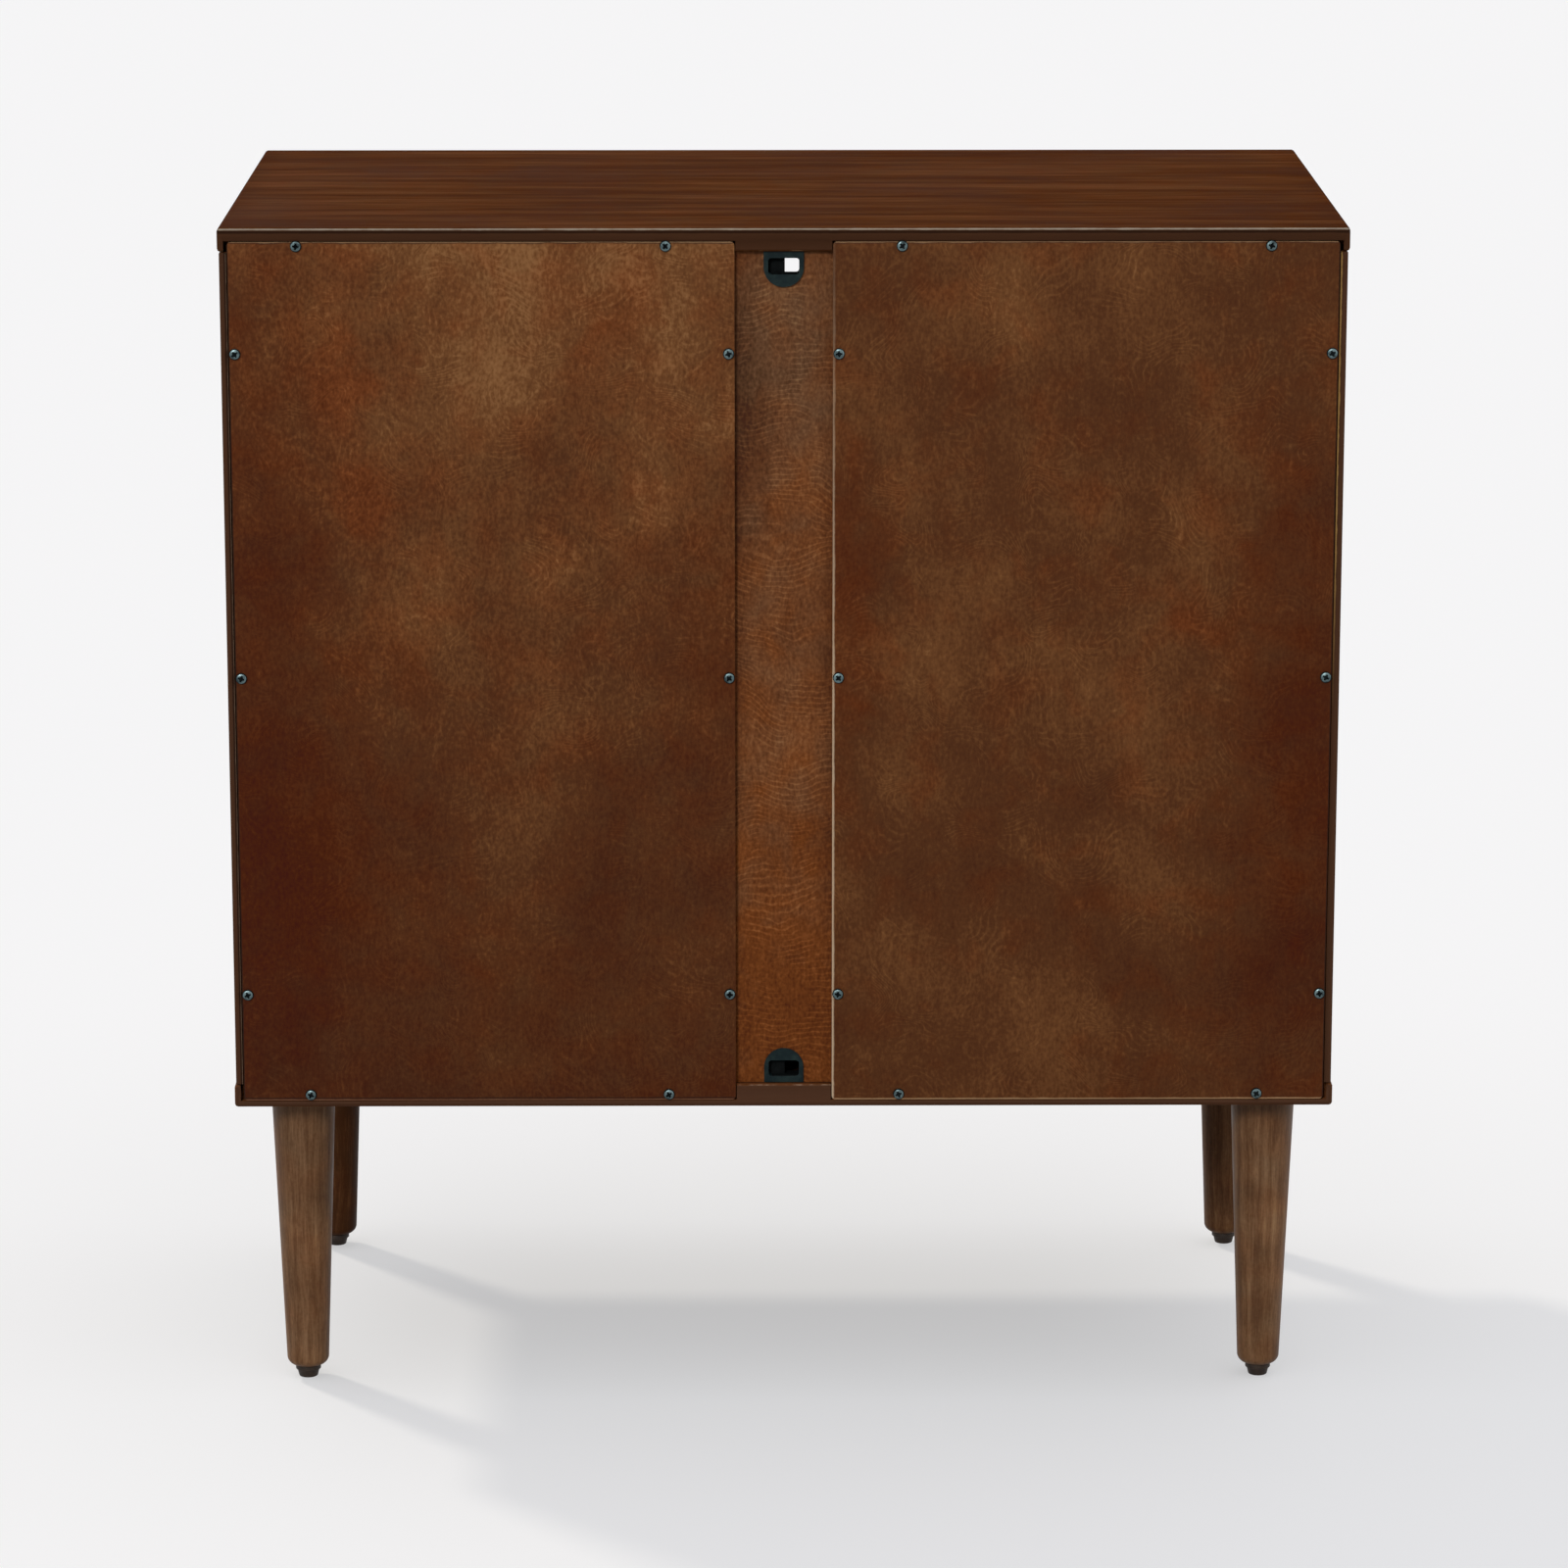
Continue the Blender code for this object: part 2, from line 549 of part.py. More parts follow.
def grommet_mesh(cutters, collection):
    """One grommet about its hole's middle: flat side up, flange at y = 0 to its thickness, sleeve to -Y."""
    flat_z = CABLE_HOLE_HEIGHT / 2 + HOLE_TO_FLAT
    arc_centre_z = flat_z - GROMMET_STRAIGHT
    outline = [(-GROMMET_RADIUS, flat_z)]
    outline += arc((0, arc_centre_z), GROMMET_RADIUS, 180, 360, HALF_TURN_STEPS)
    outline.append((GROMMET_RADIUS, flat_z))
    flange = plate("grommet", outline, FLANGE_THICKNESS, collection)
    flange.location.y = FLANGE_THICKNESS / 2
    round_edges(flange, FLANGE_ROUNDING)

    grow = 2 * SLEEVE_WALL
    depth = SLEEVE_LENGTH + FLANGE_THICKNESS / 2
    outline = rounded_rectangle(CABLE_HOLE_WIDTH + grow, CABLE_HOLE_HEIGHT + grow,
                                CABLE_HOLE_RADIUS + SLEEVE_WALL)
    sleeve = as_cutter(plate("sleeve", outline, depth, cutters))
    sleeve.location.y = FLANGE_THICKNESS / 2 - depth / 2
    boolean(flange, sleeve, "UNION")

    outline = rounded_rectangle(CABLE_HOLE_WIDTH, CABLE_HOLE_HEIGHT, CABLE_HOLE_RADIUS)
    hole = as_cutter(plate("cable_hole", outline, 2 * (SLEEVE_LENGTH + PASS), cutters))
    boolean(flange, hole, "DIFFERENCE")

    flap = as_cutter(plate("flap", flap_outline(), FLAP_THICKNESS, cutters))
    flap.location.y = -FLAP_DEPTH - FLAP_THICKNESS / 2
    boolean(flange, flap, "UNION")
    mesh = baked(flange)
    mesh.transform(Matrix.Translation((0, FLANGE_THICKNESS / 2, 0)))
    smooth(mesh)
    return mesh


def flap_outline():
    """The +X end of the cable hole's outline, rooted a little into the sleeve."""
    grown = rounded_rectangle(CABLE_HOLE_WIDTH + 2 * FLAP_ROOT, CABLE_HOLE_HEIGHT + 2 * FLAP_ROOT,
                              CABLE_HOLE_RADIUS + FLAP_ROOT)
    corner = ARC_STEPS + 1
    free_edge = CABLE_HOLE_WIDTH / 2 - FLAP_WIDTH
    top = CABLE_HOLE_HEIGHT / 2 + FLAP_ROOT
    return [*grown[:corner], (free_edge, top), (free_edge, -top), *grown[-corner:]]


def make_grommets(plastic, cutters, collection):
    """The upper grommet has its flat side up against the top, the lower one its flat side down."""
    mesh = grommet_mesh(cutters, collection)
    mesh.materials.clear()
    mesh.materials.append(plastic)
    turned_over = mesh.copy()
    shape = bmesh.new()
    shape.from_mesh(turned_over)
    bmesh.ops.scale(shape, verts=shape.verts, vec=(1, 1, -1))
    bmesh.ops.reverse_faces(shape, faces=shape.faces)
    shape.to_mesh(turned_over)
    shape.free()
    top_z, bottom_z = grommet_hole_centres()
    for word, height, form in (("top", top_z, mesh), ("bottom", bottom_z, turned_over)):
        grommet = bpy.data.objects.new(f"cable_grommet_{word}", form)
        grommet.location = (0, SEAT_Y + FIT, height)
        collection.objects.link(grommet)


def screw_mesh(cutters, collection):
    """One pan head screw along Z, head up, the underside of the head at z = 0."""
    crown = SCREW_HEAD_HEIGHT
    dome = [(SCREW_HEAD_RADIUS * out, crown * (1 - down)) for out, down in SCREW_DOME]
    profile = dome + [(SCREW_HEAD_RADIUS, 0), (SCREW_SHANK_RADIUS, 0),
                      (SCREW_SHANK_RADIUS, SCREW_TIP_LENGTH - SCREW_SHANK_LENGTH), (0, -SCREW_SHANK_LENGTH)]
    screw = turned("screw", profile, SCREW_STEPS, collection)
    for length, width in ((RECESS_SPAN, RECESS_WIDTH), (RECESS_WIDTH, RECESS_SPAN)):
        cut_box(screw, (-length / 2, -width / 2, crown - RECESS_DEPTH),
                (length / 2, width / 2, crown + PASS), cutters)
    return baked(screw)


def make_screws(steel, cutters, collection):
    """Twenty screws through the back panels."""
    mesh = screw_mesh(cutters, collection)
    mesh.materials.clear()
    mesh.materials.append(steel)
    for number, (x, z, _) in enumerate(back_screws(), start=1):
        screw = bpy.data.objects.new(f"back_screw_{number:02d}", mesh)
        screw.location = (x, CASE_BACK_Y + FIT, z)
        screw.rotation_euler = (-math.pi / 2, 0, 0)
        collection.objects.link(screw)


def make_shelves(wood, collection):
    """A loose shelf behind each door, lying on two cleats."""
    inner_x = DIVIDER_THICKNESS / 2
    for word, side in SIDES.items():
        ends = sorted((side * (inner_x + SHELF_SIDE_PLAY), side * (SIDE_INNER_X - SHELF_SIDE_PLAY)))
        shelf = box(f"shelf_{word}", (ends[0], SHELF_FRONT_Y, SHELF_BOTTOM_Z),
                    (ends[1], SHELF_BACK_Y, SHELF_BOTTOM_Z + SHELF_THICKNESS), collection)
        round_edges(shelf, EDGE_EASING)
        dress(shelf, wood)
        cleat_back = min(SHELF_BACK_Y, DIVIDER_BACK_Y) - CLEAT_SETBACK
        inner_cleat = (inner_x + FIT, inner_x + FIT + CLEAT_SECTION)
        outer_cleat = (SIDE_INNER_X - FIT - CLEAT_SECTION, SIDE_INNER_X - FIT)
        for place, span in (("inner", inner_cleat), ("outer", outer_cleat)):
            ends = sorted((side * span[0], side * span[1]))
            top_z = SHELF_BOTTOM_Z - FIT
            cleat = box(f"shelf_cleat_{word}_{place}",
                        (ends[0], SHELF_FRONT_Y + CLEAT_SETBACK, top_z - CLEAT_SECTION),
                        (ends[1], cleat_back, top_z), collection)
            round_edges(cleat, EDGE_EASING)
            dress(cleat, wood)


def pivot(word, side, collection):
    """An empty on the pin of a door's hinges, which carries the door."""
    empty = bpy.data.objects.new(f"door_pivot_{word}", None)
    empty.location = (side * PIN_X, PIN_Y, DOOR_BOTTOM_Z)
    collection.objects.link(empty)
    return empty


def hang(thing, carrier):
    """Parent a piece to a carrier and leave it where it is."""
    thing.parent = carrier
    thing.location = [a - b for a, b in zip(thing.location, carrier.location)]


def make_doors(wood, metal, steel, cutters, collection):
    """Each door with its knob and strike plate; returns the empties they hang on."""
    carriers = {}
    for word, side in SIDES.items():
        ends = sorted((side * DOOR_MEETING_GAP / 2, side * DOOR_OUTER_X))
        door = box(f"door_{word}", (ends[0], CASE_FRONT_Y, DOOR_BOTTOM_Z),
                   (ends[1], DOOR_BACK_Y, DOOR_TOP_Z), collection)
        round_edges(door, EDGE_EASING)
        post_hole = ((side * KNOB_X, CASE_FRONT_Y, KNOB_Z), 2 * (KNOB_POST_LENGTH + FIT))
        cut_rods(door, [post_hole], KNOB_POST_RADIUS + FIT, "Y", KNOB_STEPS, cutters)
        dress(door, wood)

        knob = turned(f"door_knob_{word}", knob_profile(), KNOB_STEPS, collection)
        knob.location = (side * KNOB_X, CASE_FRONT_Y - FIT, KNOB_Z)
        knob.rotation_euler = (math.pi / 2, 0, 0)
        dress(knob, metal)

        strike_z = DOOR_TOP_Z - STRIKE_DROP - STRIKE_HEIGHT / 2
        outline = rounded_rectangle(STRIKE_WIDTH, STRIKE_HEIGHT, STRIKE_CORNER_RADIUS)
        strike = plate(f"strike_plate_{word}", outline, STRIKE_THICKNESS, collection)
        strike.location = (side * STRIKE_OFFSET, DOOR_BACK_Y + FIT + STRIKE_THICKNESS / 2, strike_z)
        dress(strike, steel)

        carriers[word] = pivot(word, side, collection)
        for piece in (door, knob, strike):
            hang(piece, carriers[word])
    return carriers


def knob_profile():
    """Knob along +Z from its base at z = 0, with the post that screws into the door below."""
    head_z = KNOB_PROJECTION - FIT - KNOB_RADIUS
    return [*arc((0, head_z), KNOB_RADIUS, 90, KNOB_NECK_ANGLE, DOME_STEPS),
            (KNOB_NECK_RADIUS, KNOB_BASE_THICKNESS), (KNOB_BASE_RADIUS, KNOB_BASE_THICKNESS),
            (KNOB_BASE_RADIUS, 0), (KNOB_POST_RADIUS, 0), (KNOB_POST_RADIUS, -KNOB_POST_LENGTH),
            (0, -KNOB_POST_LENGTH)]


def leaf_outline(spans):
    """A leaf's outline from the pin at (0, 0): a tongue into each knuckle, round corners behind."""
    front = KNUCKLE_RADIUS + FIT
    back = front + LEAF_WIDTH - LEAF_CORNER_RADIUS
    end = HINGE_LENGTH / 2
    outline = arc((back, LEAF_CORNER_RADIUS - end), LEAF_CORNER_RADIUS, 0, -90, ARC_STEPS)
    outline.append((front, -end))
    for low_z, high_z in spans:
        outline += [(front, low_z + FIT), (0, low_z + FIT), (0, high_z - FIT), (front, high_z - FIT)]
    outline.append((front, end))
    return outline + arc((back, end - LEAF_CORNER_RADIUS), LEAF_CORNER_RADIUS, 90, 0, ARC_STEPS)


def barrel(name, radius, low_z, high_z, cutters):
    """A knuckle, pin or bore about the Z axis."""
    bpy.ops.mesh.primitive_cylinder_add(vertices=BARREL_STEPS, radius=radius, depth=high_z - low_z,
                                        location=(0, 0, (low_z + high_z) / 2))
    rod = bpy.context.active_object
    rod.name = name
    move_to(rod, cutters)
    return as_cutter(rod)


def leaf_mesh(name, spans, with_pin, cutters, collection):
    """A leaf about its pin, on its -X side: a plate, a knuckle on each span, and the pin or its bore."""
    leaf = plate(name, leaf_outline(spans), LEAF_THICKNESS, collection)
    to_side = Matrix.Translation((-(LEAF_THICKNESS + FIT) / 2, 0, 0))
    leaf.data.transform(to_side @ Matrix.Rotation(math.pi / 2, 4, "Z"))
    for low_z, high_z in spans:
        boolean(leaf, barrel(name + ".knuckle", KNUCKLE_RADIUS, low_z, high_z, cutters), "UNION")
    end = HINGE_LENGTH / 2
    if with_pin:
        reach = end + PIN_HEAD_HEIGHT
        boolean(leaf, barrel(name + ".pin", PIN_RADIUS, -reach, reach, cutters), "UNION")
    else:
        reach = end + PASS
        boolean(leaf, barrel(name + ".bore", PIN_RADIUS + PIN_PLAY, -reach, reach, cutters), "DIFFERENCE")
    mesh = baked(leaf)
    smooth(mesh)
    return mesh


def make_hinges(metal, carriers, cutters, collection):
    """Two butt hinges a door. A leaf is the same either way up, so the right-hand ones are turned over."""
    end = HINGE_LENGTH / 2
    split = end / 3
    case_spans = ((-end, -split - FIT / 2), (split + FIT / 2, end))
    door_spans = ((-split + FIT / 2, split - FIT / 2),)
    case_leaf = leaf_mesh("hinge_case_leaf", case_spans, True, cutters, collection)
    door_leaf = leaf_mesh("hinge_door_leaf", door_spans, False, cutters, collection)
    for leaf in (case_leaf, door_leaf):
        leaf.materials.clear()
        leaf.materials.append(metal)
    heights = {"upper": DOOR_TOP_Z - HINGE_TO_DOOR_END, "lower": DOOR_BOTTOM_Z + HINGE_TO_DOOR_END}
    for word, side in SIDES.items():
        for level, height in heights.items():
            case_side = bpy.data.objects.new(f"hinge_case_leaf_{word}_{level}", case_leaf)
            case_side.rotation_euler = (0, math.pi * (side > 0), 0)
            door_side = bpy.data.objects.new(f"hinge_door_leaf_{word}_{level}", door_leaf)
            door_side.rotation_euler = (0, math.pi * (side < 0), 0)
            for leaf in (case_side, door_side):
                leaf.location = (side * PIN_X, PIN_Y, height)
                collection.objects.link(leaf)
            hang(door_side, carriers[word])


def make_catch(plastic, collection):
    """The double magnetic catch under the bay shelf, where the doors meet."""
    catch = box("magnetic_catch", (-CATCH_WIDTH / 2, CATCH_FRONT_Y, CATCH_TOP_Z - CATCH_HEIGHT),
                (CATCH_WIDTH / 2, CATCH_BACK_Y, CATCH_TOP_Z), collection)
    round_edges(catch, CATCH_ROUNDING)
    dress(catch, plastic)


def leg_profile():
    """Leg with its hanger bolt above and the glide's bore below, about its own top at z = 0."""
    bore = STEM_RADIUS + STEM_PLAY
    bore_depth = STEM_LENGTH + STEM_PLAY
    slope = math.degrees(math.atan2(LEG_TOP_RADIUS - LEG_FOOT_RADIUS, LEG_LENGTH))
    foot_centre = (LEG_FOOT_RADIUS - LEG_FOOT_ROUNDING, LEG_FOOT_ROUNDING - LEG_LENGTH)
    foot = arc(foot_centre, LEG_FOOT_ROUNDING, -slope, -90, ARC_STEPS)
    return [(0, BOLT_LENGTH + FIT), (BOLT_RADIUS, BOLT_LENGTH + FIT), (BOLT_RADIUS, 0),
            (LEG_TOP_RADIUS - LEG_TOP_EASING, 0), (LEG_TOP_RADIUS, -LEG_TOP_EASING), *foot,
            (bore, -LEG_LENGTH), (bore, bore_depth - LEG_LENGTH), (0, bore_depth - LEG_LENGTH)]


def glide_profile():
    """Glide about the floor at z = 0: foot disc, then the stem that screws up into the leg."""
    return [(0, GLIDE_HEIGHT + STEM_LENGTH), (STEM_RADIUS, GLIDE_HEIGHT + STEM_LENGTH),
            (STEM_RADIUS, GLIDE_HEIGHT), (GLIDE_TOP_RADIUS, GLIDE_HEIGHT),
            (GLIDE_FOOT_RADIUS, 0), (0, 0)]


def make_legs(wood, plastic, collection):
    """Four legs, each screwed into the bottom panel, and their glides."""
    names = ("front_left", "front_right", "back_left", "back_right")
    for name, (x, y) in zip(names, leg_places()):
        leg = turned(f"leg_{name}", leg_profile(), LEG_STEPS, collection)
        leg.location = (x, CASE_CENTER_Y + y, LEG_TOP_Z)
        dress(leg, wood)
        glide = turned(f"leg_glide_{name}", glide_profile(), GLIDE_STEPS, collection)
        glide.location = (x, CASE_CENTER_Y + y, 0)
        dress(glide, plastic)


def main():
    """Build the whole cabinet."""
    clear_scene()
    collection = bpy.data.collections.new("console_cabinet")
    cutters = bpy.data.collections.new("cutters")
    for holder in (collection, cutters):
        bpy.context.scene.collection.children.link(holder)

    case_wood = finish("stained mahogany", "4f2e1d", 0.45)
    back_wood = finish("stained back panel", "57331c", 0.5)
    strip_wood = finish("stained strip", "623a20", 0.5)
    leg_wood = finish("stained leg", "604530", 0.5)
    plastic = finish("black plastic", "27302f", 0.5)
    screw_steel = finish("blackened steel", "2b3030", 0.4, 0.9)
    hinge_metal = finish("antique brass", "6b5836", 0.35, 1.0)

    make_slabs(case_wood, cutters, collection)
    make_sides(case_wood, cutters, collection)
    make_inside_boards(case_wood, cutters, collection)
    make_back(back_wood, strip_wood, cutters, collection)
    make_grommets(plastic, cutters, collection)
    make_screws(screw_steel, cutters, collection)
    make_shelves(case_wood, collection)
    carriers = make_doors(case_wood, hinge_metal, screw_steel, cutters, collection)
    make_hinges(hinge_metal, carriers, cutters, collection)
    make_catch(plastic, collection)
    make_legs(leg_wood, plastic, collection)


main()
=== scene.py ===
"""Looks of the console cabinet: a mahogany-stained case on four turned legs, seen from behind.

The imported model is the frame. Boards keep the outline of their CAD solid, and round or small pieces are made
again with fine meshes that stand for their CAD nodes. Lengths are metres unless a name ends in _mm. Left and
right are those of someone in front of the doors, so left is -X, and the camera looks along -Y at the back.
"""

import logging
import math
from dataclasses import dataclass, field, replace
from enum import Enum
from typing import Any, Iterable, Sequence

import bmesh
import bpy
from mathutils import Matrix, Vector


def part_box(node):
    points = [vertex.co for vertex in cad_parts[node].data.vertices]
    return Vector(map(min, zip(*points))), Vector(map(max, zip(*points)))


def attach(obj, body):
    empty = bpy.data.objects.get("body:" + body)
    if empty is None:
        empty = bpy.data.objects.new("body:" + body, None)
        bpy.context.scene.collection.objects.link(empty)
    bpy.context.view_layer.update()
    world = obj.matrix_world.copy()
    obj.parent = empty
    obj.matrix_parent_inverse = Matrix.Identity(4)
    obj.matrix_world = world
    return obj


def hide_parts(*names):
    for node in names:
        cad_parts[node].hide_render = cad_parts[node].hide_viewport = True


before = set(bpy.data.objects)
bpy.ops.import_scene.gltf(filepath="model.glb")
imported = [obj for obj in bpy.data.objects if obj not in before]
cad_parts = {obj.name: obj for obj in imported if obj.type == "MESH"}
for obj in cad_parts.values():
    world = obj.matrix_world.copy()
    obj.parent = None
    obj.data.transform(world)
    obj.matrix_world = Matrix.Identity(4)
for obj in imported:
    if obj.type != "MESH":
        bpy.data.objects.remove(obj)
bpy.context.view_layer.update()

MM = 0.001
FIT = 0.3 * MM  # the clearance that touching pieces keep
WELD = 0.001 * MM
SIDES = {"left": -1, "right": 1}
ENDS = ("front", "back")
TURNED_CREASE = 30.0  # degrees above which an edge of a turned piece is shaded sharp
CUT_CREASE = 35.0  # the same for a piece that was stamped, cut or moulded
ROUNDED_CREASE = 50.0  # degrees above which carving gives an edge a rounding
EDGE_STEPS = 3  # steps in a rounded edge
NOISE_SPAN = (0.3, 0.7)  # where nearly all values of a noise lie

Point2 = tuple[float, float]
Point3 = tuple[float, float, float]
Colour = tuple[float, float, float, float]
Shape = bmesh.types.BMesh

log = logging.getLogger("console_cabinet")


class Axis(Enum):
    """A direction of the cabinet, such as the one that a board's fibres run in."""

    ACROSS = 0
    DEEP = 1
    UP = 2


class Side(Enum):
    """A face of a board's box, as its axis and whether it is the high one."""

    LEFT = (0, False)
    RIGHT = (0, True)
    REAR = (1, True)
    BOTTOM = (2, False)
    TOP = (2, True)


def linear(hex_colour: str) -> Colour:
    """Turn an sRGB colour into linear light.

    Args:
        hex_colour: Six hex digits.

    Returns:
        Linear red, green and blue, and an alpha of 1.
    """
    channels = [int(hex_colour[i:i + 2], 16) / 255 for i in (0, 2, 4)]
    return (*(c / 12.92 if c <= 0.04045 else ((c + 0.055) / 1.055) ** 2.4 for c in channels), 1.0)


def socket(sockets: Any, key: str | int) -> bpy.types.NodeSocket:
    """Find a node's socket.

    Args:
        sockets: A node's inputs or outputs.
        key: The socket's place, identifier or name.

    Returns:
        The socket.
    """
    if isinstance(key, int):
        return sockets[key]
    return next((s for s in sockets if s.identifier == key), None) or sockets[key]


def link(tree: bpy.types.NodeTree, node: bpy.types.Node, links: dict[str | int, Any]) -> None:
    """Feed a node's inputs.

    Args:
        tree: The tree that holds the node.
        node: The node.
        links: What feeds each input socket: an output socket, or a node for its first output.
    """
    for key, source in links.items():
        output = source if isinstance(source, bpy.types.NodeSocket) else source.outputs[0]
        tree.links.new(output, socket(node.inputs, key))


def add_node(tree: bpy.types.NodeTree, kind: str, settings: dict[str | int, Any] | None = None,
             links: dict[str | int, Any] | None = None) -> bpy.types.Node:
    """Add a shader node with its settings and links.

    Args:
        tree: The tree that gets the node.
        kind: The node's type, without the leading ShaderNode.
        settings: Values by attribute name or by input socket. The value of "stops" is a colour ramp's stops.
        links: What feeds each input socket, as in link.

    Returns:
        The new node.
    """
    node = tree.nodes.new("ShaderNode" + kind)
    for key, value in (settings or {}).items():
        if key == "stops":
            elements = node.color_ramp.elements
            while len(elements) < len(value):
                elements.new(0.5)
            for element, (position, colour) in zip(elements, value):
                element.position = position
                element.color = colour
        elif isinstance(key, str) and hasattr(node, key):
            setattr(node, key, value)
        else:
            socket(node.inputs, key).default_value = value
    link(tree, node, links or {})
    return node


def new_material(name: str) -> tuple[bpy.types.Material, bpy.types.NodeTree, bpy.types.Node]:
    """Start a material.

    Args:
        name: What the material is and how it was made.

    Returns:
        The material, its node tree and its Principled shader.
    """
    made = bpy.data.materials.new(name)
    made.use_nodes = True
    return made, made.node_tree, made.node_tree.nodes["Principled BSDF"]


def dress(tree: bpy.types.NodeTree, shader: bpy.types.Node, colour: Any, gloss: Any, roughness: Point2,
          relief: Any, relief_mm: float) -> None:
    """Give a shader its colour, its roughness and its relief.

    Args:
        tree: The material's tree.
        shader: Its Principled shader.
        colour: The node or socket that holds the colour.
        gloss: The pattern that the roughness follows.
        roughness: Roughness where that pattern is low and where it is high.
        relief: The pattern that stands out of the surface.
        relief_mm: Its height.
    """
    rough = add_node(tree, "MapRange", {1: NOISE_SPAN[0], 2: NOISE_SPAN[1], 3: roughness[0],
                                        4: roughness[1]}, {0: gloss})
    bump = add_node(tree, "Bump", {"Strength": 1.0, "Distance": relief_mm * MM}, {"Height": relief})
    link(tree, shader, {"Base Color": colour, "Roughness": rough, "Normal": bump})


@dataclass(frozen=True)
class Surface:
    """A board's surface, as its finish sees it.

    Attributes:
        tree: The material's tree.
        place: The node that holds a point's place in millimetres.
        low: The board's lowest corner, in millimetres.
        high: The board's highest corner, in millimetres.
    """

    tree: bpy.types.NodeTree
    place: bpy.types.Node
    low: Vector
    high: Vector

    def middle(self) -> Vector:
        """Give the board's middle."""
        return (self.low + self.high) / 2


@dataclass(frozen=True)
class Cloud:
    """A place where the stain was wiped thinner or lies thicker, or a patch of painted shade.

    Attributes:
        across_mm: Distance from the board's middle along X.
        up_mm: Distance from the board's middle along Z.
        radius_mm: How far the place reaches.
        shade: What it adds to the tone in its middle.
        red: What it adds to the share of red there.
        tall: How many times taller than wide it is.
    """

    across_mm: float
    up_mm: float
    radius_mm: float
    shade: float
    red: float = 0.0
    tall: float = 1.0


@dataclass(frozen=True)
class Edge:
    """A line or face where the stain is rubbed through or has gathered, or where a highlight or shade is
    painted.

    Attributes:
        planes: The planes that it is close to, all at once: a face of the board, and how far in from it.
        width_mm: How far it reaches from them.
        colour: Its colour.
        amount: How much of that colour shows.
        broken: How much it comes and goes, 0 to 1.
        fade_mm: Distance below the board's top where it starts to fade, and where it is gone. Without it,
            the line runs on to the end.
    """

    planes: tuple[tuple[Side, float], ...]
    width_mm: float
    colour: str
    amount: float
    broken: float = 0.5
    fade_mm: Point2 | None = None


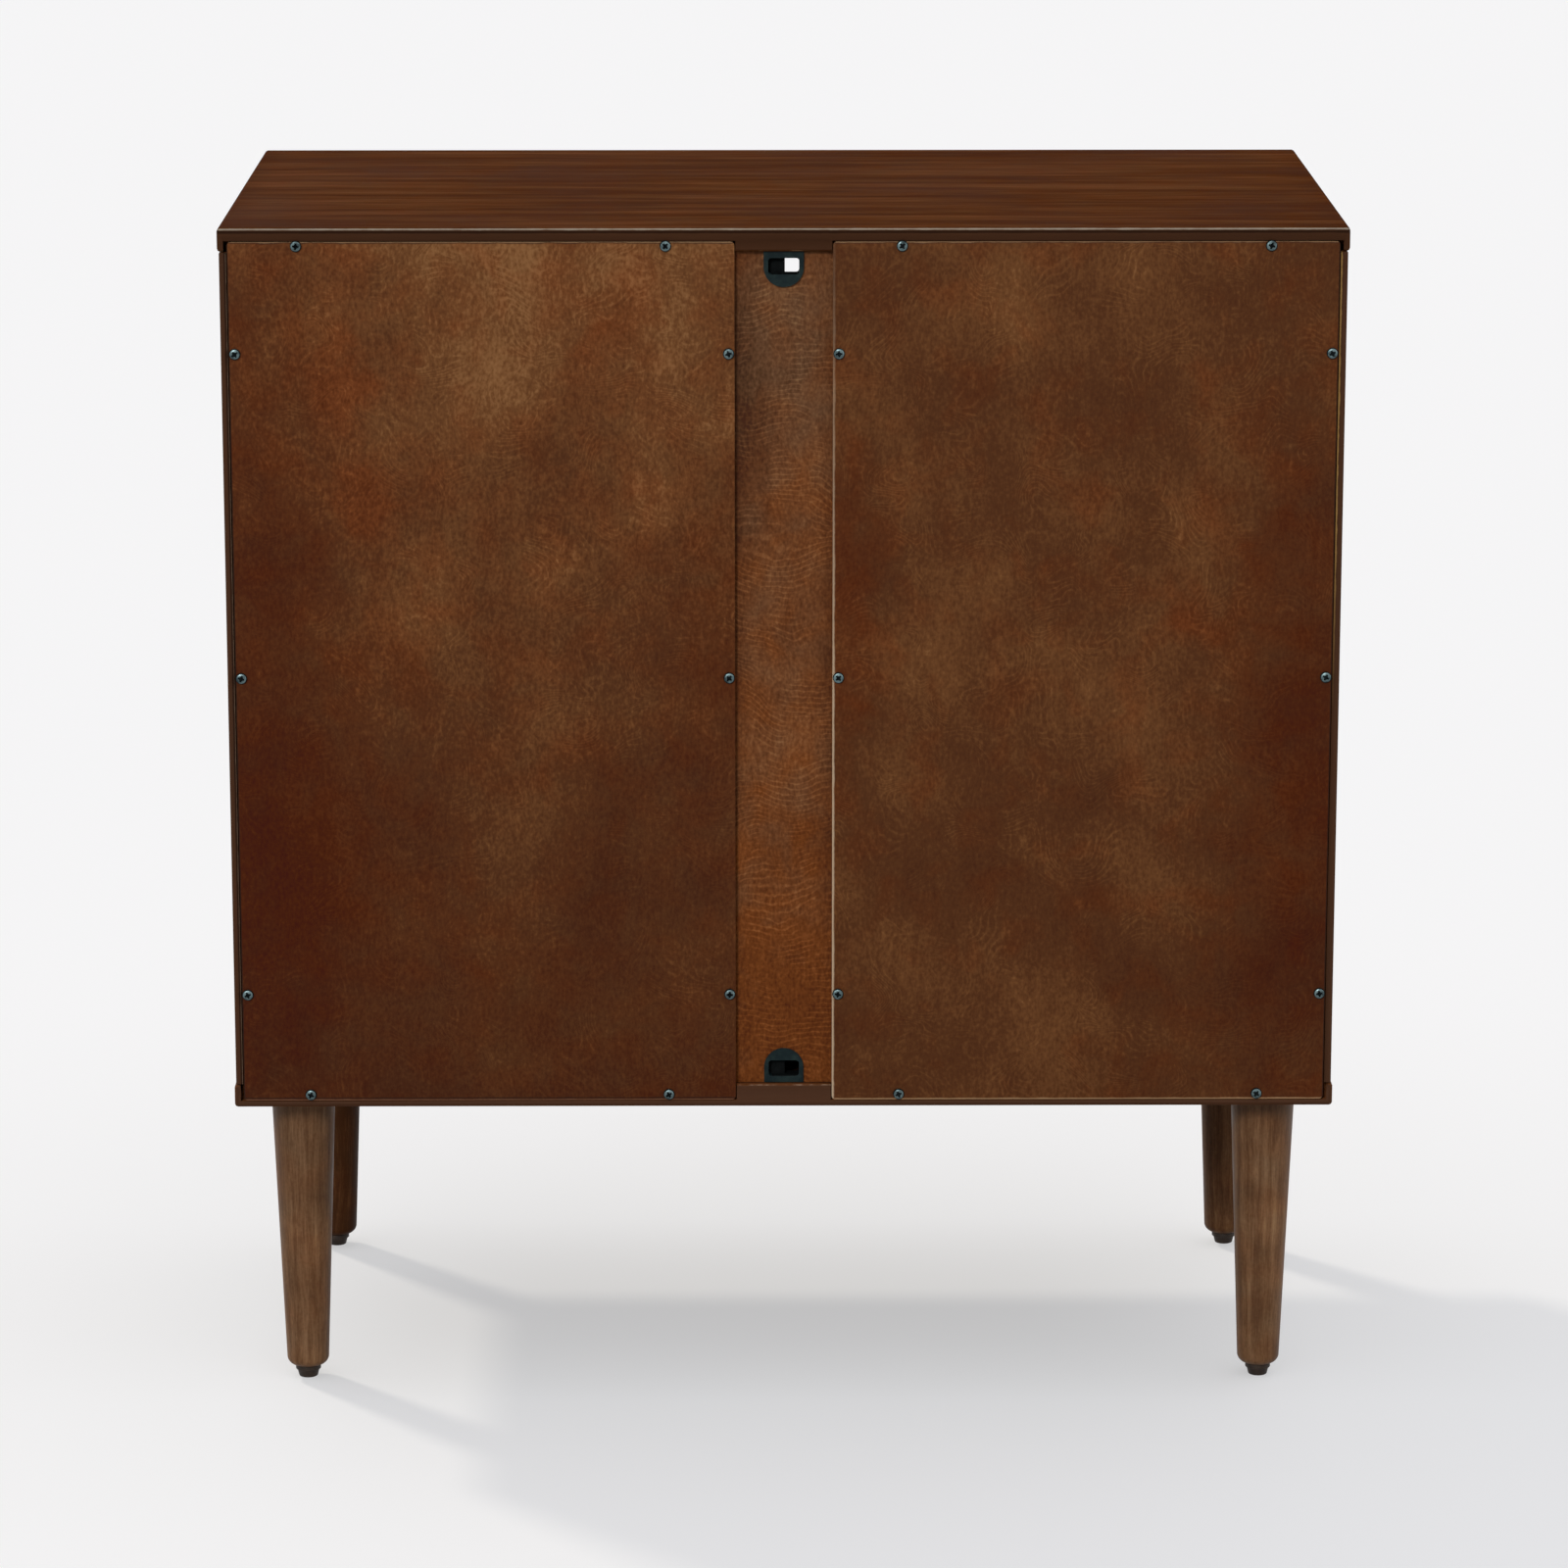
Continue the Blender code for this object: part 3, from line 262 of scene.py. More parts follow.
@dataclass(frozen=True)
class StainedWood:
    """Wood with wiped mahogany stain under a thin matt lacquer.

    The stain gives the eye a cloudy brown that turns to red or to olive, the fibres give short streaks that
    swerve about the grain, and the growth rings give thin wavy lines. A tone from 0 to 1 sums these and
    picks the colour.

    Attributes:
        name: Common name of the wood and how its surface was made.
        red_tones: Colours where the stain is redder, from the darkest tone to the lightest, evenly spaced.
        olive_tones: Colours where the wood's own yellow shows through, likewise.
        grain: The way that the fibres run.
        tone: The tone that the surface has on the whole.
        red: The share of the redder colours on the whole.
        tint: How much that share changes from place to place.
        tint_mm: Size of the places where it does.
        fibre_mm: Width and length of a streak. Real fibres are finer than a pixel, so these are bundles.
        fibre: How much the streaks change the tone.
        band_mm: Width and length of the broad light and dark bands along the grain.
        band: How much the bands change the tone.
        swerve_mm: How far the fibres stray sideways.
        sway_mm: Width and length of the places where they do.
        ring_mm: Width and length of the swells that the growth rings follow.
        rings: How many rings a full swell has.
        ring_slope: Radians of phase in each millimetre along the grain, for rings that run across a board.
        ring: How much the rings change the tone.
        ring_share: Share of the surface where the rings show.
        ring_patch_mm: Width and length of the places where they do.
        waver_mm: Size of the small waves in a ring's line.
        waver: How far these waves shake the line, in radians of phase.
        cloud_mm: Size of the stain's cloudy mottling.
        cloud: How much the mottling changes the tone.
        speckle_mm: Width and length of the ray flecks that catch more stain.
        speckle: How much the flecks change the tone.
        roughness: Roughness of the lacquer on the whole.
        roughness_spread: How far the roughness strays from that.
        specular: Specular level of the wiped finish, which reflects less than a full coat.
        relief_mm: Height of the open grain.
        border_mm: How far the darker stain at a board's border reaches in.
        border: How much darker the border is.
        rise: What the tone gains from the board's middle to its top.
        stray_mm: How far the outlines of the clouds stray.
        bend_mm: Size of the bends in those outlines.
        rub_mm: Size of the breaks in a rubbed edge.
        clouds: Places where the stain was wiped thinner or lies thicker, and patches of painted shade.
        edges: Lines where the stain is rubbed through or has gathered, and painted highlights and shade.
    """

    name: str
    red_tones: tuple[str, ...]
    olive_tones: tuple[str, ...]
    grain: Axis
    tone: float = 0.5
    red: float = 0.5
    tint: float = 2.4
    tint_mm: float = 26.0
    fibre_mm: Point2 = (0.8, 9.0)
    fibre: float = 0.6
    band_mm: Point2 = (5.0, 120.0)
    band: float = 0.3
    swerve_mm: float = 12.0
    sway_mm: Point2 = (50.0, 70.0)
    ring_mm: Point2 = (60.0, 260.0)
    rings: float = 26.0
    ring_slope: float = 0.0
    ring: float = 0.2
    ring_share: float = 0.3
    ring_patch_mm: Point2 = (22.0, 40.0)
    waver_mm: float = 8.0
    waver: float = 7.0
    cloud_mm: float = 55.0
    cloud: float = 0.9
    speckle_mm: Point2 = (1.7, 2.21)
    speckle: float = 0.25
    roughness: float = 0.6
    roughness_spread: float = 0.08
    specular: float = 0.08
    relief_mm: float = 0.03
    border_mm: float = 45.0
    border: float = 0.0
    rise: float = 0.0
    stray_mm: float = 30.0
    bend_mm: float = 34.0
    rub_mm: float = 14.0
    clouds: tuple[Cloud, ...] = ()
    edges: tuple[Edge, ...] = ()

    def stretch(self, tree: bpy.types.NodeTree, place: bpy.types.Node, size_mm: Point2) -> bpy.types.Node:
        """Scale the place so that a pattern has a width across the grain and a length along it.

        Args:
            tree: The material's tree.
            place: The place in millimetres.
            size_mm: The pattern's width and length.

        Returns:
            The node that holds the scaled place.
        """
        scale = [1 / size_mm[0]] * 3
        scale[self.grain.value] = 1 / size_mm[1]
        return add_node(tree, "VectorMath", {"operation": "MULTIPLY", 1: scale}, {0: place})

    def layer(self, tree: bpy.types.NodeTree, value: Any, pattern: Any, amount: float) -> bpy.types.Node:
        """Add a pattern to a value, such as the tone.

        Args:
            tree: The material's tree.
            value: The value so far, as a number or a node.
            pattern: A pattern about 0.5.
            amount: How much it changes the value.

        Returns:
            The node that holds the new value.
        """
        settings = {"operation": "MULTIPLY_ADD", 1: amount}
        links = {0: add_node(tree, "Math", {"operation": "SUBTRACT", 1: 0.5}, {0: pattern})}
        (settings if isinstance(value, float) else links)[2] = value
        return add_node(tree, "Math", settings, links)

    def growth_rings(self, tree: bpy.types.NodeTree, place: bpy.types.Node) -> bpy.types.Node:
        """Draw the thin lines where the growth rings meet the cut face, seen in some places only.

        Args:
            tree: The material's tree.
            place: The place in millimetres, swerved about the grain.

        Returns:
            The node that holds the pattern, which is 0.5 where no ring shows.
        """
        swell = add_node(tree, "TexNoise", {"Scale": 1.0, "Detail": 1.0, "Distortion": 0.5},
                         {"Vector": self.stretch(tree, place, self.ring_mm)})
        waver = add_node(tree, "TexNoise", {"Scale": 1.0, "Detail": 3.0},
                         {"Vector": self.stretch(tree, place, (self.waver_mm, self.waver_mm))})
        step = [0.0, 0.0, 0.0]
        step[self.grain.value] = self.ring_slope
        slope = add_node(tree, "VectorMath", {"operation": "DOT_PRODUCT", 1: step}, {0: place})
        phase = add_node(tree, "Math", {"operation": "MULTIPLY_ADD", 1: self.rings * 2 * math.pi},
                         {0: swell, 2: slope.outputs["Value"]})
        shaken = add_node(tree, "Math", {"operation": "MULTIPLY_ADD", 1: self.waver}, {0: waver, 2: phase})
        wave = add_node(tree, "Math", {"operation": "SINE"}, {0: shaken})
        # Only the wave's crest draws a line, and between the lines the wood is a little darker.
        foot, between = 0.3, 0.42
        line = add_node(tree, "MapRange", {1: foot, 2: 1.0, 3: between, 4: 1.0}, {0: wave})
        patches = add_node(tree, "TexNoise", {"Scale": 1.0, "Detail": 2.0},
                           {"Vector": self.stretch(tree, place, self.ring_patch_mm)})
        rarest, commonest, before, after = 0.66, 0.34, 0.04, 0.08
        edge = rarest + (commonest - rarest) * self.ring_share
        shown = add_node(tree, "MapRange", {1: edge - before, 2: edge + after}, {0: patches})
        return add_node(tree, "Mix", {"data_type": "FLOAT", "A_Float": 0.5},
                        {"Factor_Float": shown, "B_Float": line})

    def borders(self, surface: Surface) -> bpy.types.Node:
        """Measure how far a point of the board's face lies from its nearest border.

        Args:
            surface: The board's surface.

        Returns:
            The node that holds the distance in millimetres.
        """
        tree = surface.tree
        half = (surface.high - surface.low) / 2
        offset = add_node(tree, "VectorMath", {"operation": "SUBTRACT", 1: surface.middle()},
                          {0: surface.place})
        size = add_node(tree, "VectorMath", {"operation": "ABSOLUTE"}, {0: offset})
        inside = add_node(tree, "VectorMath", {"operation": "SUBTRACT", 0: half}, {1: size})
        split = add_node(tree, "SeparateXYZ", None, {0: inside})
        least = add_node(tree, "Math", {"operation": "MINIMUM"}, {0: split.outputs[0], 1: split.outputs[1]})
        most = add_node(tree, "Math", {"operation": "MAXIMUM"}, {0: split.outputs[0], 1: split.outputs[1]})
        second = add_node(tree, "Math", {"operation": "MINIMUM"}, {0: most, 1: split.outputs[2]})
        return add_node(tree, "Math", {"operation": "MAXIMUM"}, {0: least, 1: second})

    def wiped(self, surface: Surface, tone: Any, hue: Any) -> tuple[Any, Any]:
        """Add the clouds of stain and of painted shade, the board's rise in tone and its darker border.

        Args:
            surface: The board's surface.
            tone: The tone so far.
            hue: The share of red so far.

        Returns:
            The nodes that hold the new tone and the new share of red.
        """
        tree, place, middle = surface.tree, surface.place, surface.middle()
        bends = add_node(tree, "TexNoise", {"Scale": 1 / self.bend_mm, "Detail": 3.0, "Roughness": 0.55},
                         {"Vector": place})
        push = add_node(tree, "VectorMath", {"operation": "MULTIPLY_ADD", 1: [self.stray_mm * 2] * 3},
                        {0: bends.outputs["Color"], 2: place})
        for cloud in self.clouds:
            centre = middle + Vector((cloud.across_mm, 0, cloud.up_mm)) + Vector([self.stray_mm] * 3)
            offset = add_node(tree, "VectorMath", {"operation": "SUBTRACT", 1: centre}, {0: push})
            squat = add_node(tree, "VectorMath", {"operation": "MULTIPLY", 1: (1, 1, 1 / cloud.tall)},
                             {0: offset})
            apart = add_node(tree, "VectorMath", {"operation": "LENGTH"}, {0: squat})
            near = add_node(tree, "MapRange", {"interpolation_type": "SMOOTHSTEP", 1: cloud.radius_mm,
                                               2: 0.0}, {0: apart.outputs["Value"]})
            tone = add_node(tree, "Math", {"operation": "MULTIPLY_ADD", 1: cloud.shade}, {0: near, 2: tone})
            if cloud.red:
                hue = add_node(tree, "Math", {"operation": "MULTIPLY_ADD", 1: cloud.red}, {0: near, 2: hue})
        if self.rise:
            split = add_node(tree, "SeparateXYZ", None, {0: place})
            up = add_node(tree, "MapRange", {1: surface.low.z, 2: surface.high.z, 3: -self.rise,
                                             4: self.rise}, {0: split.outputs[2]})
            tone = add_node(tree, "Math", {"operation": "ADD"}, {0: up, 1: tone})
        if self.border:
            strayed = self.layer(tree, self.borders(surface), bends, self.border_mm)
            near = add_node(tree, "MapRange", {"interpolation_type": "SMOOTHSTEP", 1: self.border_mm,
                                               2: 0.0}, {0: strayed})
            tone = add_node(tree, "Math", {"operation": "MULTIPLY_ADD", 1: -self.border}, {0: near, 2: tone})
            hue = add_node(tree, "Math", {"operation": "MULTIPLY_ADD", 1: self.border}, {0: near, 2: hue})
        return tone, hue

    def edged(self, surface: Surface, colour: Any) -> Any:
        """Draw the lines where the stain is rubbed through or has gathered, and the painted highlights and
        shade.

        Args:
            surface: The board's surface.
            colour: The colour so far.

        Returns:
            The node or socket that holds the new colour.
        """
        tree = surface.tree
        split = add_node(tree, "SeparateXYZ", None, {0: surface.place})
        patchy = add_node(tree, "TexNoise", {"Scale": 1 / self.rub_mm, "Detail": 5.0, "Roughness": 0.7},
                          {"Vector": surface.place})
        for edge in self.edges:
            reach = None
            for side, inset in edge.planes:
                axis, is_high = side.value
                plane = surface.high[axis] - inset if is_high else surface.low[axis] + inset
                apart = add_node(tree, "Math", {"operation": "SUBTRACT", 1: plane}, {0: split.outputs[axis]})
                size = add_node(tree, "Math", {"operation": "ABSOLUTE"}, {0: apart})
                if reach:
                    size = add_node(tree, "Math", {"operation": "MAXIMUM"}, {0: reach, 1: size})
                reach = size
            strayed = self.layer(tree, reach, patchy, edge.width_mm * edge.broken * 4)
            shown = add_node(tree, "MapRange", {1: edge.width_mm, 2: edge.width_mm / 2, 3: 0.0,
                                                4: edge.amount}, {0: strayed})
            if edge.fade_mm:
                start, end = (surface.high.z - drop for drop in edge.fade_mm)
                left = add_node(tree, "MapRange", {1: end, 2: start}, {0: split.outputs[2]})
                shown = add_node(tree, "Math", {"operation": "MULTIPLY"}, {0: shown, 1: left})
            mixed = add_node(tree, "Mix", {"data_type": "RGBA", "B_Color": linear(edge.colour)},
                             {"Factor_Float": shown, "A_Color": colour})
            colour = socket(mixed.outputs, "Result_Color")
        return colour

    def stained(self, surface: Surface, tone: Any, hue: Any) -> Any:
        """Pick the stain's colour for a tone and a share of red.

        Args:
            surface: The board's surface.
            tone: The node that holds the tone.
            hue: The node that holds the share of red.

        Returns:
            The socket that holds the colour.
        """
        ramps = []
        for colours in (self.olive_tones, self.red_tones):
            last = len(colours) - 1
            stops = [(i / last, linear(colour)) for i, colour in enumerate(colours)]
            ramps.append(add_node(surface.tree, "ValToRGB", {"stops": stops}, {0: tone}))
        stain = add_node(surface.tree, "Mix", {"data_type": "RGBA"},
                         {"Factor_Float": hue, "A_Color": ramps[0], "B_Color": ramps[1]})
        return socket(stain.outputs, "Result_Color")

    def material(self, board: str, low: Vector, high: Vector) -> bpy.types.Material:
        """Make the finish for one board.

        Args:
            board: The board's name.
            low: The board's lowest corner.
            high: The board's highest corner.

        Returns:
            The material.
        """
        made, tree, shader = new_material(f"{self.name}, {board}")
        where = add_node(tree, "TexCoord")
        place = add_node(tree, "VectorMath", {"operation": "SCALE", "Scale": 1 / MM},
                         {0: where.outputs["Object"]})
        surface = Surface(tree, place, low / MM, high / MM)
        sway = add_node(tree, "TexNoise", {"Scale": 1.0, "Detail": 1.0},
                        {"Vector": self.stretch(tree, place, self.sway_mm)})
        grain = add_node(tree, "VectorMath", {"operation": "MULTIPLY_ADD", 1: [self.swerve_mm * 2] * 3},
                         {0: sway.outputs["Color"], 2: place})
        fibres = add_node(tree, "TexNoise", {"Scale": 1.0, "Detail": 2.0, "Roughness": 0.6},
                          {"Vector": self.stretch(tree, grain, self.fibre_mm)})
        bands = add_node(tree, "TexNoise", {"Scale": 1.0, "Detail": 3.0},
                         {"Vector": self.stretch(tree, grain, self.band_mm)})
        mottling = add_node(tree, "TexNoise", {"Scale": 1 / self.cloud_mm, "Detail": 4.0, "Roughness": 0.4,
                                               "Distortion": 0.3}, {"Vector": place})
        speckles = add_node(tree, "TexNoise", {"Scale": 1.0, "Detail": 1.0},
                            {"Vector": self.stretch(tree, place, self.speckle_mm)})
        tone = self.tone
        for pattern, amount in ((mottling, self.cloud), (bands, self.band), (fibres, self.fibre),
                                (speckles, self.speckle), (self.growth_rings(tree, grain), self.ring)):
            tone = self.layer(tree, tone, pattern, amount)
        # The tint is read far from the mottling, so that the two noises don't follow each other.
        elsewhere = add_node(tree, "VectorMath", {"operation": "ADD", 1: (310, 520, 140)}, {0: place})
        tint = add_node(tree, "TexNoise", {"Scale": 1 / self.tint_mm, "Detail": 3.0, "Distortion": 0.4},
                        {"Vector": elsewhere})
        tone, hue = self.wiped(surface, tone, self.layer(tree, self.red, tint, self.tint))
        colour = self.stained(surface, tone, hue)
        if self.edges:
            colour = self.edged(surface, colour)
        roughness = (self.roughness - self.roughness_spread, self.roughness + self.roughness_spread)
        dress(tree, shader, colour, mottling, roughness, fibres, self.relief_mm)
        shader.inputs["Specular IOR Level"].default_value = self.specular
        return made


@dataclass(frozen=True)
class MouldedPlastic:
    """Injection-moulded plastic with a fine spark-eroded skin, which gives the eye a soft, even sheen.

    Attributes:
        name: Common name of the plastic and how it was made.
        colour: Its main colour.
        scuffed: Its colour where it is rubbed.
        roughness: Roughness of the skin.
        specular: Specular level, below 0.5 where the skin is dull.
        gloss: What a scuff takes from the roughness at most, and what it adds.
        scuffs: Noise values at which the scuffs start and are full.
        scuff_mm: Size of the scuffs.
        grit_mm: Size of the skin's texture. The real one is finer than a pixel, so it is drawn coarser.
        relief_mm: Height of that texture.
    """

    name: str
    colour: str
    scuffed: str
    roughness: float = 0.42
    specular: float = 0.5
    gloss: Point2 = (0.06, 0.1)
    scuffs: Point2 = (0.42, 0.72)
    scuff_mm: float = 7.0
    grit_mm: float = 0.5
    relief_mm: float = 0.012

    def material(self) -> bpy.types.Material:
        """Make the finish.

        Returns:
            The material.
        """
        made, tree, shader = new_material(self.name)
        where = add_node(tree, "TexCoord").outputs["Object"]
        grit = add_node(tree, "TexNoise", {"Scale": 1 / (self.grit_mm * MM), "Detail": 2.0},
                        {"Vector": where})
        rub = add_node(tree, "TexNoise", {"Scale": 1 / (self.scuff_mm * MM), "Detail": 4.0,
                                          "Roughness": 0.65}, {"Vector": where})
        stops = [(self.scuffs[0], linear(self.colour)), (self.scuffs[1], linear(self.scuffed))]
        colour = add_node(tree, "ValToRGB", {"stops": stops}, {0: rub})
        roughness = (self.roughness - self.gloss[0], self.roughness + self.gloss[1])
        dress(tree, shader, colour, rub, roughness, grit, self.relief_mm)
        shader.inputs["Specular IOR Level"].default_value = self.specular
        return made


@dataclass(frozen=True)
class WorkedMetal:
    """Metal that was turned, stamped or plated, which gives the eye a broken, directional shine.

    Attributes:
        name: Common name of the metal and how its surface was made.
        colour: Colour of the clean metal.
        tarnish: Colour where it has darkened.
        tarnish_share: How much of the surface has darkened, 0 to 1.
        roughness: Roughness of the clean metal.
        dulling: What tarnish adds to the roughness.
        tarnish_mm: Size of the tarnished places.
        blend: Half of the step in noise value over which clean metal turns to tarnish.
        mark_mm: Spacing of the tool marks along Z, drawn coarser than real ones, so that they show.
        mark_length_mm: Length of the marks.
        relief_mm: Depth of the marks.
    """

    name: str
    colour: str
    tarnish: str
    tarnish_share: float
    roughness: float
    dulling: float = 0.18
    tarnish_mm: float = 4.0
    blend: float = 0.12
    mark_mm: float = 0.35
    mark_length_mm: float = 6.0
    relief_mm: float = 0.006

    def material(self) -> bpy.types.Material:
        """Make the finish.

        Returns:
            The material.
        """
        made, tree, shader = new_material(self.name)
        where = add_node(tree, "TexCoord").outputs["Object"]
        along = 1 / (self.mark_length_mm * MM)
        stretched = add_node(tree, "VectorMath", {"operation": "MULTIPLY",
                                                  1: (along, along, 1 / (self.mark_mm * MM))}, {0: where})
        marks = add_node(tree, "TexNoise", {"Scale": 1.0, "Detail": 2.0}, {"Vector": stretched})
        stain = add_node(tree, "TexNoise", {"Scale": 1 / (self.tarnish_mm * MM), "Detail": 5.0,
                                            "Roughness": 0.6}, {"Vector": where})
        lowest, highest = NOISE_SPAN
        edge = highest - (highest - lowest) * self.tarnish_share
        stops = [(edge - self.blend, linear(self.colour)), (edge + self.blend, linear(self.tarnish))]
        colour = add_node(tree, "ValToRGB", {"stops": stops}, {0: stain})
        roughness = (self.roughness, self.roughness + self.dulling)
        dress(tree, shader, colour, stain, roughness, marks, self.relief_mm)
        shader.inputs["Metallic"].default_value = 1.0
        return made


# The stain's colours from the darkest tone to the lightest, first where it is redder, then where the wood's
# own yellow shows through: on the panels, the strip, the veneer and the legs.
RED_STAIN = ("380d00", "421800", "512508", "693716", "824e2a")
OLIVE_STAIN = ("351401", "3f1e09", "4c2a11", "643e1f", "7f5733")
BRIGHT_STAIN = ("431a04", "532708", "63330f", "733f19", "824e27")
PALE_STAIN = ("3a200f", "4b2f19", "5b3c25", "6b4a2f", "7c5c3c")
RED_VENEER = ("371600", "432005", "4f2a12", "5b351c", "683f25")
OLIVE_VENEER = ("341805", "41230c", "4d2d14", "59371e", "664227")
RED_LEG = ("3a1d0a", "4a2b15", "5d3c22", "704d31", "83613f")
OLIVE_LEG = ("37200e", "482e19", "5a3f27", "6d5138", "80654a")

# Colours along edges, where the stain is rubbed off or worn thin, or where it has gathered, and painted
# highlight and shade along rims and seams.
BARE_BIRCH = "9a7a58"
PALE_CORE = "b39c80"
# Painted highlight along the top's rounded rear rim.
PAINTED_RIM_HIGHLIGHT = "8f8474"
DARK_LIP = "3e281b"
# Painted shade: a near-black line along the back's seams and under the top's rear rim.
PAINTED_SHADE_LINE = "1e110a"
PALE_PORE = "a08a74"
GREY_PORE = "7a6553"
GOLD_RUB = "a07c46"
# Painted shade along the back panels' top edges, where they sit under the top.
LEFT_TOP_SHADE = "3a2115"
RIGHT_TOP_SHADE = "2c170d"
RIGHT_BOTTOM = "7d5a44"

# Sliced veneer under satin lacquer: long dark and light stripes along the grain with hardly any shine. The
# boards' rear edges are darker, with a pale line where the stain has worn off a corner. The top's upper rear
# rim has a painted highlight with a line of painted shade under it, and the right side a line of painted
# shade along its seam with the back.
LIP = Edge(((Side.REAR, 0.0),), 0.6, DARK_LIP, 0.85, 0.1)
SHELF_VENEER = StainedWood(
    "mahogany veneer, stained and lacquered", RED_VENEER, OLIVE_VENEER, Axis.ACROSS, fibre_mm=(1.0, 24.0),
    fibre=0.6, band=1.2, swerve_mm=10.0, sway_mm=(70.0, 400.0), cloud_mm=110.0, cloud=0.8, ring=0.1,
    speckle=0.15, roughness=0.7, specular=0.05)
TOP_VENEER = replace(
    SHELF_VENEER, tone=0.2, fibre_mm=(3.0, 40.0), fibre=0.8, band_mm=(14.0, 240.0), band=1.5, cloud_mm=90.0,
    cloud=0.6, ring=0.05, roughness=0.8, specular=0.005, border_mm=20.0, border=0.1,
    edges=(LIP, Edge(((Side.REAR, 0.0), (Side.TOP, 2.5)), 1.0, PAINTED_SHADE_LINE, 0.75, 0.3),
           Edge(((Side.REAR, 0.0), (Side.TOP, 0.0)), 1.5, PAINTED_RIM_HIGHLIGHT, 0.9, 0.2),
           Edge(((Side.REAR, 0.0), (Side.BOTTOM, 0.0)), 0.8, BARE_BIRCH, 0.5, 0.9)))
BOTTOM_VENEER = replace(
    SHELF_VENEER, band=0.9, cloud=0.5,
    edges=(LIP, Edge(((Side.REAR, 0.0), (Side.TOP, 0.0)), 0.9, PALE_PORE, 0.6, 0.9)))
UPRIGHT_VENEER = replace(
    SHELF_VENEER, grain=Axis.UP, sway_mm=(60.0, 300.0), ring_mm=(70.0, 420.0), rings=14.0, ring=0.25,
    ring_share=0.5)
RIGHT_SIDE_VENEER = replace(UPRIGHT_VENEER, edges=(
    LIP, Edge(((Side.RIGHT, 3.4),), 0.5, PAINTED_SHADE_LINE, 0.8, 0.2),
    Edge(((Side.RIGHT, 4.5), (Side.REAR, 0.0)), 0.5, GREY_PORE, 0.7, 0.6)))
LEFT_SIDE_VENEER = replace(UPRIGHT_VENEER, edges=(
    LIP, Edge(((Side.LEFT, 4.2), (Side.REAR, 0.0)), 0.9, GOLD_RUB, 0.75, 0.6, (180.0, 300.0))))

# Sawn wood with a single coat: short, plain streaks.
CLEAT_WOOD = StainedWood(
    "solid mahogany, sawn and stained", RED_VENEER, OLIVE_VENEER, Axis.DEEP, tone=0.45, band=0.6,
    cloud_mm=30.0)

# Rotary-cut birch drinks the wiped stain unevenly: soft clouds from red to olive, with fine flecks. The
# right panel is redder, and the left one has a pale line down the cut edge beside the strip. Both have
# painted shade along their top edges and their outer seams, and the right one above its bottom edge too.
PANEL_PLY = StainedWood(
    "birch plywood, rotary cut and stained", RED_STAIN, OLIVE_STAIN, Axis.UP, fibre_mm=(1.5, 5.0),
    fibre=0.36, band_mm=(5.0, 24.0), band=0.2, cloud_mm=60.0, cloud=0.6, ring_mm=(60.0, 50.0), rings=34.0,
    ring=0.2, ring_share=0.5, speckle_mm=(2.0, 2.6), speckle=0.48)
RIGHT_PANEL_PLY = replace(
    PANEL_PLY, tone=0.545, red=0.2, rise=0.22, tint=1.9,
    clouds=(Cloud(148, 40, 95, -0.24, 0.5, 6.0), Cloud(-150, 20, 60, -0.15, 0.3, 3.0),
            Cloud(70, 250, 100, -0.1), Cloud(115, -130, 120, -0.17, 0.6), Cloud(-84, 228, 42, -0.13, 0.3),
            Cloud(-76, -62, 46, -0.12, 0.1), Cloud(-5, 200, 60, 0.04, -0.3), Cloud(-42, -26, 36, 0.1),
            Cloud(-20, -115, 45, 0.12, -0.3), Cloud(88, 190, 40, 0.04, 1.0), Cloud(74, 122, 38, 0.02, 1.0),
            Cloud(62, 0, 50, -0.08, 0.5), Cloud(-30, -215, 60, -0.06, 0.1)),
    edges=(Edge(((Side.RIGHT, 0.0),), 0.9, PAINTED_SHADE_LINE, 0.8, 0.2),
           Edge(((Side.TOP, 0.0),), 1.5, RIGHT_TOP_SHADE, 0.8, 0.5),
           Edge(((Side.BOTTOM, 1.5),), 0.7, PAINTED_SHADE_LINE, 0.6, 0.3),
           Edge(((Side.BOTTOM, 0.0),), 0.9, RIGHT_BOTTOM, 0.5, 0.3),
           Edge(((Side.TOP, 0.0),), 0.7, BARE_BIRCH, 0.5, 0.9)))
LEFT_PANEL_PLY = replace(
    PANEL_PLY, tone=0.52, red=0.05, rise=0.06, speckle=0.4, fibre=0.28,
    clouds=(Cloud(-150, -60, 105, -0.27, 0.7, 3.5), Cloud(150, 40, 45, -0.1, 0.8, 4.0),
            Cloud(-30, 230, 70, 0.05, -0.4), Cloud(-20, -30, 50, 0.1), Cloud(-36, 100, 34, -0.14),
            Cloud(-46, -90, 40, 0.08), Cloud(95, -95, 50, 0.06, -0.2), Cloud(-10, -150, 34, -0.06, 0.2),
            Cloud(90, 20, 60, 0.03, -0.2), Cloud(-70, 45, 40, 0.03, 0.6), Cloud(60, -240, 110, 0.12, -0.3)),
    edges=(Edge(((Side.LEFT, 0.0),), 0.8, PAINTED_SHADE_LINE, 0.8, 0.2),
           Edge(((Side.TOP, 0.0),), 1.4, LEFT_TOP_SHADE, 0.7, 0.5),
           Edge(((Side.RIGHT, 0.0),), 1.7, PALE_CORE, 0.8, 0.25, (290.0, -12.0)),
           Edge(((Side.BOTTOM, 0.0),), 1.3, BARE_BIRCH, 0.7, 0.25),
           Edge(((Side.TOP, 0.0),), 0.7, BARE_BIRCH, 0.5, 0.9)))
